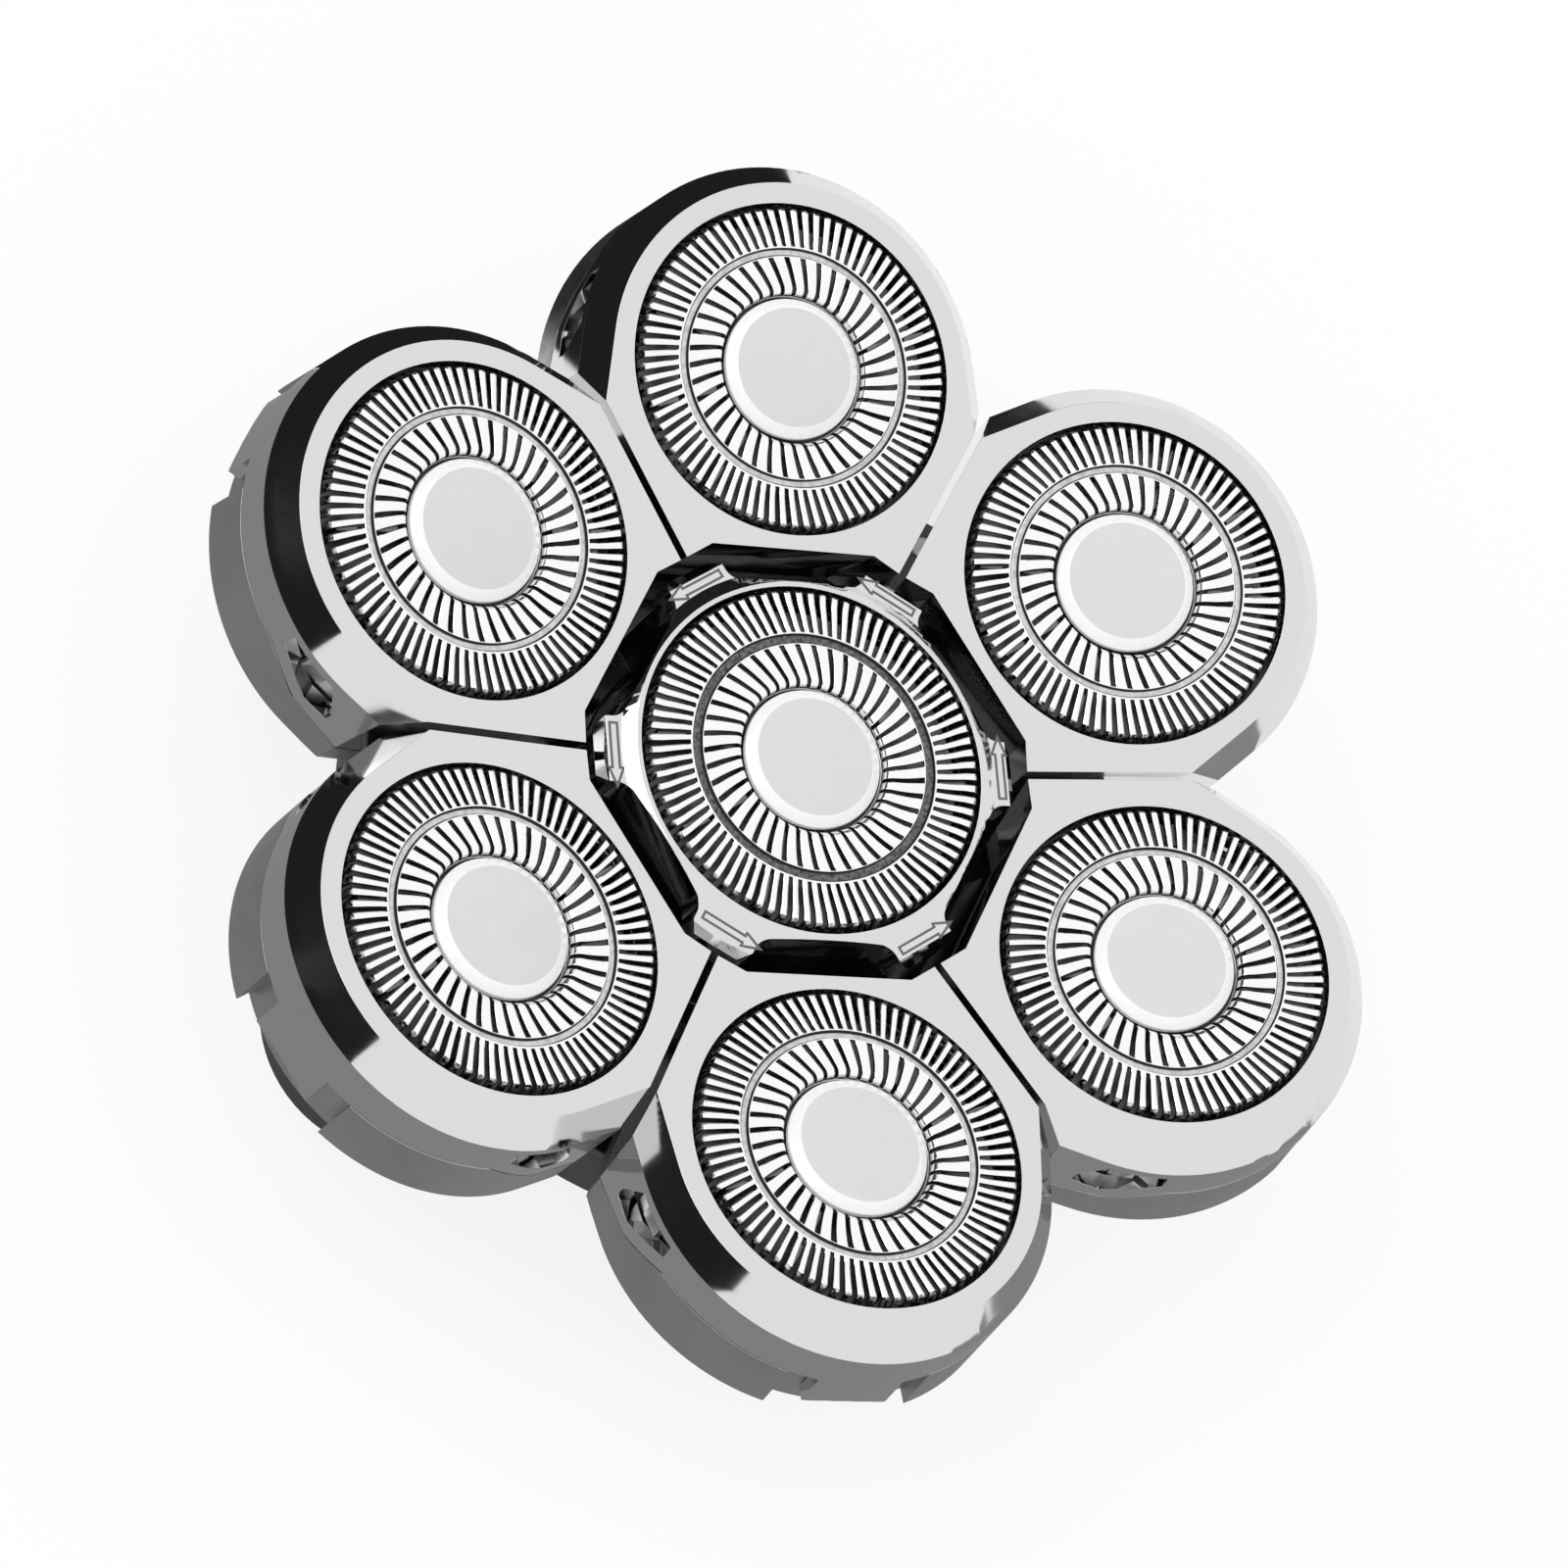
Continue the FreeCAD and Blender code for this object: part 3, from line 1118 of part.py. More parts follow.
def make_centre_cap():
    """Centre cap: a rim round the bore, six flats facing the pods and six lobes between them.
    A lobe lies on the body's own +X; the placement turns the lobes between the pods."""
    body = new_body("centre_cap")
    rim = CENTRE_BORE + size("centre_rim")
    slope = rim + size("centre_slope")
    reach = LOBE_REACH
    past = reach + OVERCUT
    half = size("lobe_half_width")
    lobe_top = -size("lobe_drop")
    bottom = -size("centre_skirt")
    disc = new_sketch(body)
    draw_circle(disc, past)
    pad(body, disc, size("centre_skirt"), upwards=False)

    edge = new_sketch(body, "XZ_Plane")
    face_end = reach - size("lobe_chamfer")
    far = past + OVERCUT
    draw_outline(edge, [(face_end, OVERCUT), (face_end, lobe_top),
                        (reach, lobe_top - size("lobe_chamfer_depth")),
                        (reach, bottom - OVERCUT), (far, bottom - OVERCUT), (far, OVERCUT)])
    edge_cut = pocket(body, edge, past, both_ways=True)
    corners = new_sketch(body, offset=as_size(OVERCUT))
    cut = size("lobe_corner")
    for side in (1, -1):
        draw_outline(corners, [(reach, (half - cut) * side), (reach - cut, half * side),
                               (reach - cut, (half + cut) * side), (reach + cut, (half + cut) * side),
                               (reach + cut, (half - cut) * side)])
    corner_cut = pocket(body, corners, THROUGH)
    bay = new_sketch(body, offset=as_size(OVERCUT))
    near = (CENTRE_BORE + size("centre_wall") - half * sine(HALF_PITCH)) / cosine(HALF_PITCH)
    turn = 2 * HALF_PITCH
    mirrored = [(x * cosine(turn) + y * sine(turn), x * sine(turn) - y * cosine(turn))
                for x, y in ((far, half), (near, half))]
    draw_outline(bay, [(near, half), (far, half)] + mirrored)
    bay_cut = pocket(body, bay, THROUGH)
    repeat(body, [edge_cut, corner_cut, bay_cut], POD_COUNT)

    corner = math.hypot(near.number, half.number)
    dress_edges(body, "Fillet", lambda edge: is_upright(edge) and abs(edge_radius(edge) - corner) < TINY,
                {"Radius": size("lobe_fillet")})
    step = new_sketch(body, "XZ_Plane")
    draw_outline(step, [(rim, 0), (slope, lobe_top), (far, lobe_top), (far, OVERCUT), (rim, OVERCUT)])
    turn_away(body, step)
    bore = new_sketch(body, offset=as_size(OVERCUT))
    draw_circle(bore, CENTRE_BORE)
    pocket(body, bore, THROUGH)
    return body


def is_upright(edge):
    """Whether an edge is a straight line along Z."""
    box = edge.BoundBox
    return box.XLength < 1e-6 and box.YLength < 1e-6


def edge_radius(edge):
    """Distance of an upright edge from the Z axis."""
    point = edge.Vertexes[0].Point
    return math.hypot(point.x, point.y)


def pod_placement(index):
    """Where a pod's own frame stands on the head."""
    angle = 2 * HALF_PITCH * index
    turn = FreeCAD.Rotation(FreeCAD.Vector(0, 0, 1), angle)
    lean = FreeCAD.Rotation(FreeCAD.Vector(0, 1, 0), -TILT.number)
    height = FACE_HEIGHT.number + size("pod_rise").number
    centre = turn.multVec(FreeCAD.Vector(POD_CIRCLE.number, 0, 0)) + FreeCAD.Vector(0, 0, height)
    return FreeCAD.Placement(centre, turn.multiply(lean))


def gear_placement(index):
    """Where a pinion's upright axis stands."""
    turn = FreeCAD.Rotation(FreeCAD.Vector(0, 0, 1), 2 * HALF_PITCH * index)
    return FreeCAD.Placement(turn.multVec(FreeCAD.Vector(GEAR_DISTANCE.number, 0, 0)), turn)


def centre_placement(angle=0):
    """The centre cap's face height on the head's axis."""
    turn = FreeCAD.Rotation(FreeCAD.Vector(0, 0, 1), angle)
    return FreeCAD.Placement(FreeCAD.Vector(0, 0, FACE_HEIGHT.number), turn)


def copy_of(master, label):
    """A further piece of the same shape as a master, as a body or a plain feature."""
    doc.recompute()
    if master.isDerivedFrom("PartDesign::Body"):
        body = doc.addObject("PartDesign::Body", label)
        clone = doc.addObject("PartDesign::FeatureBase", f"{label}_Clone")
        clone.BaseFeature = master
        body.Group = [clone]
        body.Tip = clone
        body.Label = label
        return body
    feature = doc.addObject("Part::Feature", label)
    feature.Label = label
    feature.Shape = master.Shape.copy()
    return feature


def make_pods():
    """The six outer pods with their drives: each master is made once, then copied round the ring."""
    socket_height = FACE_HEIGHT + size("pod_rise") - size("socket_centre") * cosine(TILT)
    spindle, flange = make_spindle("spindle_1", socket_height)
    masters = {
        "cap": lengthen_tongue(make_cap()),
        "shell": make_shell(),
        "foil": make_foil("foil_1", size("cap_bore"), size("foil_flange"), 32, 16),
        "badge": make_badge("badge_1"),
        "cutter": make_cutter("cutter_1", size("cap_bore"), 10),
        "spindle": spindle,
        "spring": make_spring("spring_1", flange, 4),
        "pinion": make_gear("pinion_1", PINION_TEETH, PINION_PITCH, size("pinion_hub"), size("pinion_stub"),
                            FLOOR_TOP - size("stub_bore_depth") + size("stub_end_gap"), 180 / PINION_TEETH),
    }
    pieces = []
    for name, master in masters.items():
        for index in range(POD_COUNT):
            piece = master if index == 0 else copy_of(master, f"{name}_{index + 1}")
            upright = name in ("spindle", "spring", "pinion")
            pieces.append((piece, gear_placement(index) if upright else pod_placement(index)))
    return pieces


def make_centre():
    """The centre pod and its drive."""
    head_centre = FACE_HEIGHT - size("socket_centre")
    spindle, flange = make_spindle("centre_spindle", head_centre)
    stub_end = FLOOR_BOTTOM - size("sun_stub_reach")
    still = FreeCAD.Placement()
    return [
        (make_centre_cap(), centre_placement(HALF_PITCH)),
        (make_foil("centre_foil", CENTRE_BORE, None, 34, 17), centre_placement()),
        (make_badge("centre_badge"), centre_placement()),
        (make_cutter("centre_cutter", CENTRE_BORE, 10), centre_placement()),
        (spindle, still),
        (make_spring("centre_spring", flange, 3), still),
        (make_gear("sun_gear", SUN_TEETH, SUN_PITCH, size("sun_hub"), size("sun_stub"), stub_end, 0), still),
        (make_coupling(), still),
    ]


def make_base():
    """The fixed base that plugs into the handle."""
    still = FreeCAD.Placement()
    return [(make_housing(), still), (make_cover(), still), (make_screws(), still), (make_seal(), still)]


def check_document():
    """Stops the build if any object failed."""
    for item in doc.Objects:
        if "Invalid" in item.State or "Error" in item.State:
            raise RuntimeError(f"{item.Label} failed: {item.State}")


def export(pieces):
    """Checks each piece's shape and writes it to its own file."""
    for piece, placement in pieces:
        piece.Placement = placement
    doc.recompute()
    check_document()
    for piece, placement in pieces:
        shape = piece.Shape
        if shape.isNull() or not shape.isValid():
            raise RuntimeError(f"{piece.Label} has no valid shape")
        solids = len(shape.Solids)
        print(f"{piece.Label}: {solids} solid(s), {shape.Volume:.1f} mm3")
    for piece, placement in pieces:
        piece.Shape.exportStep(f"parts/{piece.Label}.step")


export(make_pods() + make_centre() + make_base())
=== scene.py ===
import json
import math

import bmesh
import bpy
import numpy as np
from mathutils import Matrix, Vector

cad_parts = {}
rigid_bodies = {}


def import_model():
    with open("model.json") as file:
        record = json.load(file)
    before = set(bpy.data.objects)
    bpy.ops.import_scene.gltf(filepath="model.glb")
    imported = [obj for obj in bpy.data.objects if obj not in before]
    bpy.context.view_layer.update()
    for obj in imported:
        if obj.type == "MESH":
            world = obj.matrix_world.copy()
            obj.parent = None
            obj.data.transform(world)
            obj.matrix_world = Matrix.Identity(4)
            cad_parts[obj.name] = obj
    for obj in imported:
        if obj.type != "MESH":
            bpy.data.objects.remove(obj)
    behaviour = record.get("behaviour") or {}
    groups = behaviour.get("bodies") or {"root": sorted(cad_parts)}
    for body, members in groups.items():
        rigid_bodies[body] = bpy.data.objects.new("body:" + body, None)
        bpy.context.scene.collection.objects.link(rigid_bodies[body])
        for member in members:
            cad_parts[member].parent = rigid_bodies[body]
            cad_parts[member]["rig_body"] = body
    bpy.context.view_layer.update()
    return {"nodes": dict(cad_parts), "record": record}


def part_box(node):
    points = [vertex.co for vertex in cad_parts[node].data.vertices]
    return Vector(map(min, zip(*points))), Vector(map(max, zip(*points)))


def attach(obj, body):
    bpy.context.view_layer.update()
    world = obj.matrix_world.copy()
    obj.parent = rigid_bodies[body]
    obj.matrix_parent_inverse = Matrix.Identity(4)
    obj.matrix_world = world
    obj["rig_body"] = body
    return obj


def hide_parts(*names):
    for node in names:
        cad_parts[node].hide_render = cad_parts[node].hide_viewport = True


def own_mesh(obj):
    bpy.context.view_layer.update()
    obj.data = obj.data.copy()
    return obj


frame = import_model()

# The object's sizes are in millimetres and degrees: the height of the centre cap's face, the circle of the
# pods' middles, their rise above that face and their lean, the lobes' drop below it, and the least angle of
# an edge that counts as sharp

MM = 0.001
STATIONS = 6
STATION_ANGLE = 360 / STATIONS
FACE_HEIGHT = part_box("centre_cap")[1][2] / MM
POD_CIRCLE = 26.17
POD_RISE = 1.84
POD_LEAN = 10.3
LOBE_DROP = 0.5
SHARP_ANGLE = 28


def pod_matrix(station):
    """From a pod's own frame in millimetres (x outwards, z out of the cap's face) to the object's frame
    in metres. Station 0 is the centre."""
    if station == 0:
        place = Matrix.Translation((0, 0, FACE_HEIGHT))
    else:
        turn = Matrix.Rotation(math.radians(STATION_ANGLE * (station - 1)), 4, "Z")
        shift = Matrix.Translation((POD_CIRCLE, 0, FACE_HEIGHT + POD_RISE))
        lean = Matrix.Rotation(math.radians(-POD_LEAN), 4, "Y")
        place = turn @ shift @ lean
    return Matrix.Scale(MM, 4) @ place


# Materials


class Finish:
    """A material made of nodes round one Principled shader, in Object coordinates."""

    def __init__(self, name, colour, metallic=0.0, roughness=0.5, coat=0.0):
        self.material = bpy.data.materials.new(name)
        self.material.use_nodes = True
        self.tree = self.material.node_tree
        self.shader = self.tree.nodes["Principled BSDF"]
        self.shader.inputs["Base Color"].default_value = (colour, colour, colour, 1)
        self.shader.inputs["Metallic"].default_value = metallic
        self.shader.inputs["Roughness"].default_value = roughness
        self.shader.inputs["Coat Weight"].default_value = coat
        self.place = self.tree.nodes.new("ShaderNodeTexCoord").outputs["Object"]

    def noise(self, waves, detail=4.0, factors=(1, 1, 1)):
        """Noise over the piece: waves a metre, times a factor along each axis."""
        mapping = self.tree.nodes.new("ShaderNodeMapping")
        mapping.inputs["Scale"].default_value = factors
        self.tree.links.new(self.place, mapping.inputs["Vector"])
        noise = self.tree.nodes.new("ShaderNodeTexNoise")
        noise.inputs["Scale"].default_value = waves
        noise.inputs["Detail"].default_value = detail
        self.tree.links.new(mapping.outputs["Vector"], noise.inputs["Vector"])
        return noise.outputs["Fac"]

    def spread(self, source, low, high, start=0.3, end=0.7):
        """Maps a pattern's middle range, start to end, to the range low to high."""
        span = self.tree.nodes.new("ShaderNodeMapRange")
        span.inputs["From Min"].default_value = start
        span.inputs["From Max"].default_value = end
        span.inputs["To Min"].default_value = low
        span.inputs["To Max"].default_value = high
        self.tree.links.new(source, span.inputs["Value"])
        return span.outputs["Result"]

    def vary_roughness(self, source, low, high):
        """Roughness that follows a pattern."""
        self.tree.links.new(self.spread(source, low, high), self.shader.inputs["Roughness"])

    def vary_colour(self, source, low, high):
        """Grey that follows a pattern. Below zero it is black."""
        grey = self.tree.nodes.new("ShaderNodeCombineColor")
        value = self.spread(source, low, high)
        for channel in ("Red", "Green", "Blue"):
            self.tree.links.new(value, grey.inputs[channel])
        self.tree.links.new(grey.outputs["Color"], self.shader.inputs["Base Color"])

    def bump(self, source, depth):
        """Fine relief, depth in metres."""
        bump = self.tree.nodes.new("ShaderNodeBump")
        bump.inputs["Distance"].default_value = depth
        bump.inputs["Strength"].default_value = 1.0
        self.tree.links.new(source, bump.inputs["Height"])
        self.tree.links.new(bump.outputs["Normal"], self.shader.inputs["Normal"])


def plated_chrome():
    """Bright plating with a slight haze and an almost flat ripple of the moulding beneath."""
    finish = Finish("plated_chrome", 0.72, metallic=1.0, roughness=0.08)
    finish.vary_roughness(finish.noise(260), 0.05, 0.12)
    finish.bump(finish.noise(90, detail=1.0), 0.00001)
    return finish.material


def satin_plating():
    """Grey satin plating of the lower shells."""
    finish = Finish("satin_plating", 0.55, metallic=1.0, roughness=0.34)
    finish.vary_roughness(finish.noise(900), 0.28, 0.4)
    finish.vary_colour(finish.noise(140), 0.5, 0.6)
    return finish.material


def foil_steel():
    """Ground stainless steel of the foils."""
    finish = Finish("foil_steel", 0.95, metallic=1.0, roughness=0.2)
    finish.vary_roughness(finish.noise(1600), 0.14, 0.26)
    return finish.material


def foil_wall_painted_shade():
    """Painted shade on the foil's outer wall and shoulder: dark steel, with bright specks as painted
    glints.
    """
    finish = Finish("foil_wall_painted_shade", 0.1, metallic=1.0, roughness=0.4)
    finish.vary_colour(finish.noise(3200, detail=2.0), -0.3, 0.9)
    finish.vary_roughness(finish.noise(2000), 0.3, 0.5)
    return finish.material


def ring_steel():
    """Satin ring pressed between the two tracks of an outer foil."""
    finish = Finish("ring_steel", 0.6, metallic=1.0, roughness=0.3)
    finish.vary_colour(finish.noise(2600, detail=2.0), 0.48, 0.72)
    return finish.material


def dark_ring_steel():
    """Mottled dark ring pressed between the two tracks of the centre foil."""
    finish = Finish("dark_ring_steel", 0.12, metallic=1.0, roughness=0.45)
    finish.vary_colour(finish.noise(3600, detail=2.0), 0.05, 0.22)
    return finish.material


def slot_shadow():
    """Painted shade: near-black on the foils' cut faces, groove sides and underside, where shadow falls."""
    finish = Finish("slot_shadow", 0.008, roughness=0.7)
    finish.vary_roughness(finish.noise(2000), 0.65, 0.8)
    return finish.material


def badge_metal():
    """Pale satin disc in the foil's middle."""
    finish = Finish("badge_metal", 0.7, roughness=0.5)
    finish.vary_roughness(finish.noise(2400), 0.44, 0.56)
    finish.vary_colour(finish.noise(500), 0.69, 0.71)
    return finish.material


def badge_rim_painted_highlight():
    """Painted highlight: the bevel round the disc in bright near-white, standing in for the light it
    catches.
    """
    finish = Finish("badge_rim_painted_highlight", 0.96, roughness=0.25, coat=0.3)
    finish.vary_roughness(finish.noise(1500), 0.2, 0.32)
    return finish.material


def cutter_steel():
    """Ground steel of the rotating cutters, darkened near black as painted shade for their place under the
    foils.
    """
    finish = Finish("cutter_steel", 0.2, metallic=1.0, roughness=0.35)
    finish.vary_roughness(finish.noise(2200, factors=(1, 1, 6)), 0.28, 0.42)
    return finish.material


def drive_plastic():
    """Pale moulded plastic of the gears and spindles."""
    finish = Finish("drive_plastic", 0.62, roughness=0.45)
    finish.vary_roughness(finish.noise(1200), 0.4, 0.52)
    finish.vary_colour(finish.noise(300), 0.58, 0.66)
    return finish.material


def spring_wire():
    """Drawn spring wire."""
    finish = Finish("spring_wire", 0.5, metallic=1.0, roughness=0.3)
    finish.vary_roughness(finish.noise(3000), 0.24, 0.36)
    return finish.material


def gloss_black():
    """Gloss black plastic of the gearbox and tower."""
    finish = Finish("gloss_black", 0.012, roughness=0.1, coat=0.3)
    finish.vary_roughness(finish.noise(500), 0.08, 0.16)
    return finish.material


def screw_zinc():
    """Zinc-plated screws."""
    finish = Finish("screw_zinc", 0.55, metallic=1.0, roughness=0.32)
    finish.vary_roughness(finish.noise(2000), 0.26, 0.4)
    return finish.material


def seal_rubber():
    """Matt black rubber of the collar's seal."""
    finish = Finish("seal_rubber", 0.02, roughness=0.75)
    finish.bump(finish.noise(4000), 0.00001)
    return finish.material


def arrow_ink():
    """Dark grey edges of the arrows."""
    finish = Finish("arrow_ink", 0.12, roughness=0.4)
    finish.vary_roughness(finish.noise(2000), 0.35, 0.5)
    return finish.material


# The material slot of each CAD node, the finish of each slot, and the finishes of scene pieces alone

SLOTS = {entry["node"]: entry["material_slot"] for entry in frame["record"]["subparts"]}
FINISHES = {
    "cap_chrome": plated_chrome(),
    "shell_satin": satin_plating(),
    "foil_steel": foil_steel(),
    "badge_steel": badge_metal(),
    "cutter_steel": cutter_steel(),
    "drive_plastic": drive_plastic(),
    "spring_steel": spring_wire(),
    "base_black": gloss_black(),
    "screw_steel": screw_zinc(),
    "seal_rubber": seal_rubber(),
}
ARROW_INK = arrow_ink()
# Dark painted shade for the foils' outer walls and shoulders
WALL_PAINTED_SHADE = foil_wall_painted_shade()
# Near-black painted shade for the foils' cut faces, groove sides and underside
SLOT_SHADOW = slot_shadow()
RING_STEEL = ring_steel()
DARK_RING_STEEL = dark_ring_steel()
# Near-white painted highlight for the badges' bevels
RIM_PAINTED_HIGHLIGHT = badge_rim_painted_highlight()


# Pieces


def add_piece(name, points, faces, place, material, body):
    """A mesh object whose place is in its mesh, riding on a body."""
    mesh = bpy.data.meshes.new(name)
    matrix = np.array(place)
    spots = points @ matrix[:3, :3].T + matrix[:3, 3]
    mesh.from_pydata(spots, [], faces)
    mesh.validate()
    mesh.materials.append(material)
    piece = bpy.data.objects.new(name, mesh)
    bpy.context.scene.collection.objects.link(piece)
    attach(piece, body)
    return piece


def shade(mesh, sharp_angle):
    """Smooth shading, apart from edges sharper than an angle."""
    mesh.shade_smooth()
    mesh.set_sharp_from_angle(angle=math.radians(sharp_angle))


def finish_nodes():
    """Gives every CAD node the finish of its slot."""
    for name, node in frame["nodes"].items():
        node.data.materials.clear()
        node.data.materials.append(FINISHES[SLOTS[name]])
        shade(node.data, SHARP_ANGLE)


def whole_mesh(node):
    """A copy of a CAD node's mesh with its triangles joined, and those in one plane made one face."""
    merge_distance = 0.002 * MM
    plane_angle = 0.6
    mesh = frame["nodes"][node].data.copy()
    mesh.name = f"{node}_dressed"
    joined = bmesh.new()
    joined.from_mesh(mesh)
    bmesh.ops.remove_doubles(joined, verts=joined.verts, dist=merge_distance)
    bmesh.ops.dissolve_limit(joined, angle_limit=math.radians(plane_angle), verts=joined.verts,
                             edges=joined.edges)
    joined.to_mesh(mesh)
    joined.free()
    return mesh


def dress(node, material, bevel, edge_material=None):
    """A whole copy of a CAD node with rounded edges, bevel wide. An edge material goes on every face under
    half as large as the largest."""
    mesh = whole_mesh(node)
    shade(mesh, SHARP_ANGLE)
    mesh.materials.clear()
    mesh.materials.append(material)
    if edge_material:
        mesh.materials.append(edge_material)
        areas = np.zeros(len(mesh.polygons))
        mesh.polygons.foreach_get("area", areas)
        mesh.polygons.foreach_set("material_index", (areas < areas.max() / 2).astype(np.int32))
    piece = bpy.data.objects.new(f"{node}_dressed", mesh)
    bpy.context.scene.collection.objects.link(piece)
    rounding = piece.modifiers.new("rounding", "BEVEL")
    rounding.width = bevel * MM
    rounding.segments = 2
    rounding.limit_method = "ANGLE"
    rounding.angle_limit = math.radians(SHARP_ANGLE)
    rounding.harden_normals = True
    rounding.use_clamp_overlap = True
    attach(piece, frame["nodes"][node]["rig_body"])
    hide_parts(node)
    return piece


def make_spring(station):
    """Spring between a pinion's hub and its spindle's flange, dressed, with a mesh of its own. It rides
    with the spindle."""
    node = f"spring_{station}"
    piece = dress(node, FINISHES["spring_steel"], bevel=0.1)
    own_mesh(piece)


# Foils: the radii of the wall, the shoulder and the ring's two edges, and the slots of each track. All of
# them share the height of their face above the cap's, the sheet, the well and the rows of a rounded or
# level strip. Each band of the profile has one of the foil's four materials

OUTER_FOIL = {"wall": 10.85, "shoulder": 10.42, "ring_out": 7.95, "ring_in": 7.4,
              "outer_slots": 80, "inner_slots": 40}
CENTRE_FOIL = {"wall": 11.56, "shoulder": 11.15, "ring_out": 8.38, "ring_in": 7.7,
               "outer_slots": 84, "inner_slots": 42}
FOIL_RISE = 0.3
FOIL_THICKNESS = 0.22
WELL_RADIUS = 4.9
STRIP_ROWS = 5

# Bands of the profile, and the material of each: bare steel, dark painted shade on the wall and shoulder,
# the pressed ring, and near-black painted shade on the groove's sides
PLAIN, TRACK, INNER_TRACK, WALL, GROOVE_SIDE, RING = range(6)
BRIGHT, WALL_SHADE, PRESSED, SHADED = range(4)
MATERIAL_OF_BAND = np.array([BRIGHT, BRIGHT, BRIGHT, WALL_SHADE, SHADED, PRESSED])


def quarter_round(start, end):
    """Points (r, z) of a quarter ellipse that leaves start upright and meets end level:
    start + (end - start) * (1 - cos t, sin t), t from 0 to a right angle."""
    turn = np.linspace(0, math.pi / 2, STRIP_ROWS)
    share = np.stack([1 - np.cos(turn), np.sin(turn)], axis=1)
    return np.array(start) + share * (np.array(end) - np.array(start))


def band_rows(points, band, next_band):
    """Rows of one band. The last of them starts the next band."""
    rows = [(radius, height, band) for radius, height in points[:-1]]
    return rows + [(*points[-1], next_band)]


def level_run(start, end):
    """Points (r, z) at the height of the foil's face, from one radius to another."""
    return [(radius, FOIL_RISE) for radius in np.linspace(start, end, STRIP_ROWS)]


def foil_profile(wall, shoulder, ring_out, ring_in):
    """Rows (radius, height, band) from the foil's foot to its well's floor: up the wall, over the
    shoulder's quarter round, in across the outer track, the groove with its ring and the inner track, and
    down the lip's quarter round into the well. A row's band is the strip from it to the next row."""
    foot = -1.8
    slots_foot = -1.25
    taper_foot = -0.6
    taper = 0.06
    shoulder_reach = 0.2
    shoulder_foot = 0.0
    land = 0.12
    inner_land = 0.06
    groove_depth = 0.16
    groove_slope = 0.1
    ring_crown = 0.05
    lip_reach = 0.55
    lip_drop = 0.6
    well_corner = -0.45
    well_floor = -0.5
    well_chamfer = 0.1

    shoulder_start = (shoulder + shoulder_reach, shoulder_foot)
    groove_floor = FOIL_RISE - groove_depth
    lip = (WELL_RADIUS + lip_reach, FOIL_RISE)
    down_lip = quarter_round((WELL_RADIUS, FOIL_RISE - lip_drop), lip)[::-1]
    rows = [(wall, foot, PLAIN), (wall, slots_foot, WALL), (wall - taper, taper_foot, WALL)]
    rows += band_rows(quarter_round(shoulder_start, (shoulder, FOIL_RISE)), WALL, TRACK)
    rows += band_rows(level_run(shoulder, ring_out + land)[1:], TRACK, PLAIN)
    rows += [(ring_out, FOIL_RISE, GROOVE_SIDE)]
    rows += [(ring_out - groove_slope, groove_floor, RING)]
    rows += [((ring_out + ring_in) / 2, groove_floor + ring_crown, RING)]
    rows += [(ring_in + groove_slope, groove_floor, GROOVE_SIDE)]
    rows += [(ring_in, FOIL_RISE, PLAIN)]
    rows += band_rows([*level_run(ring_in - inner_land, lip[0]), *down_lip[1:]], INNER_TRACK, PLAIN)
    rows += [(WELL_RADIUS, well_corner, PLAIN), (WELL_RADIUS - well_chamfer, well_floor, PLAIN)]
    return rows


def column_angles(columns, group, bar_columns, bar_share):
    """Angle of each column round a full turn: in every group the first bar_columns share the bar's part
    of the pitch and the rest share the slot's."""
    pitch = 2 * math.pi / columns * group
    position = np.arange(columns)
    within = position % group
    in_bar = within / bar_columns * bar_share
    in_slot = bar_share + (within - bar_columns) / (group - bar_columns) * (1 - bar_share)
    return (position // group + np.where(within < bar_columns, in_bar, in_slot)) * pitch


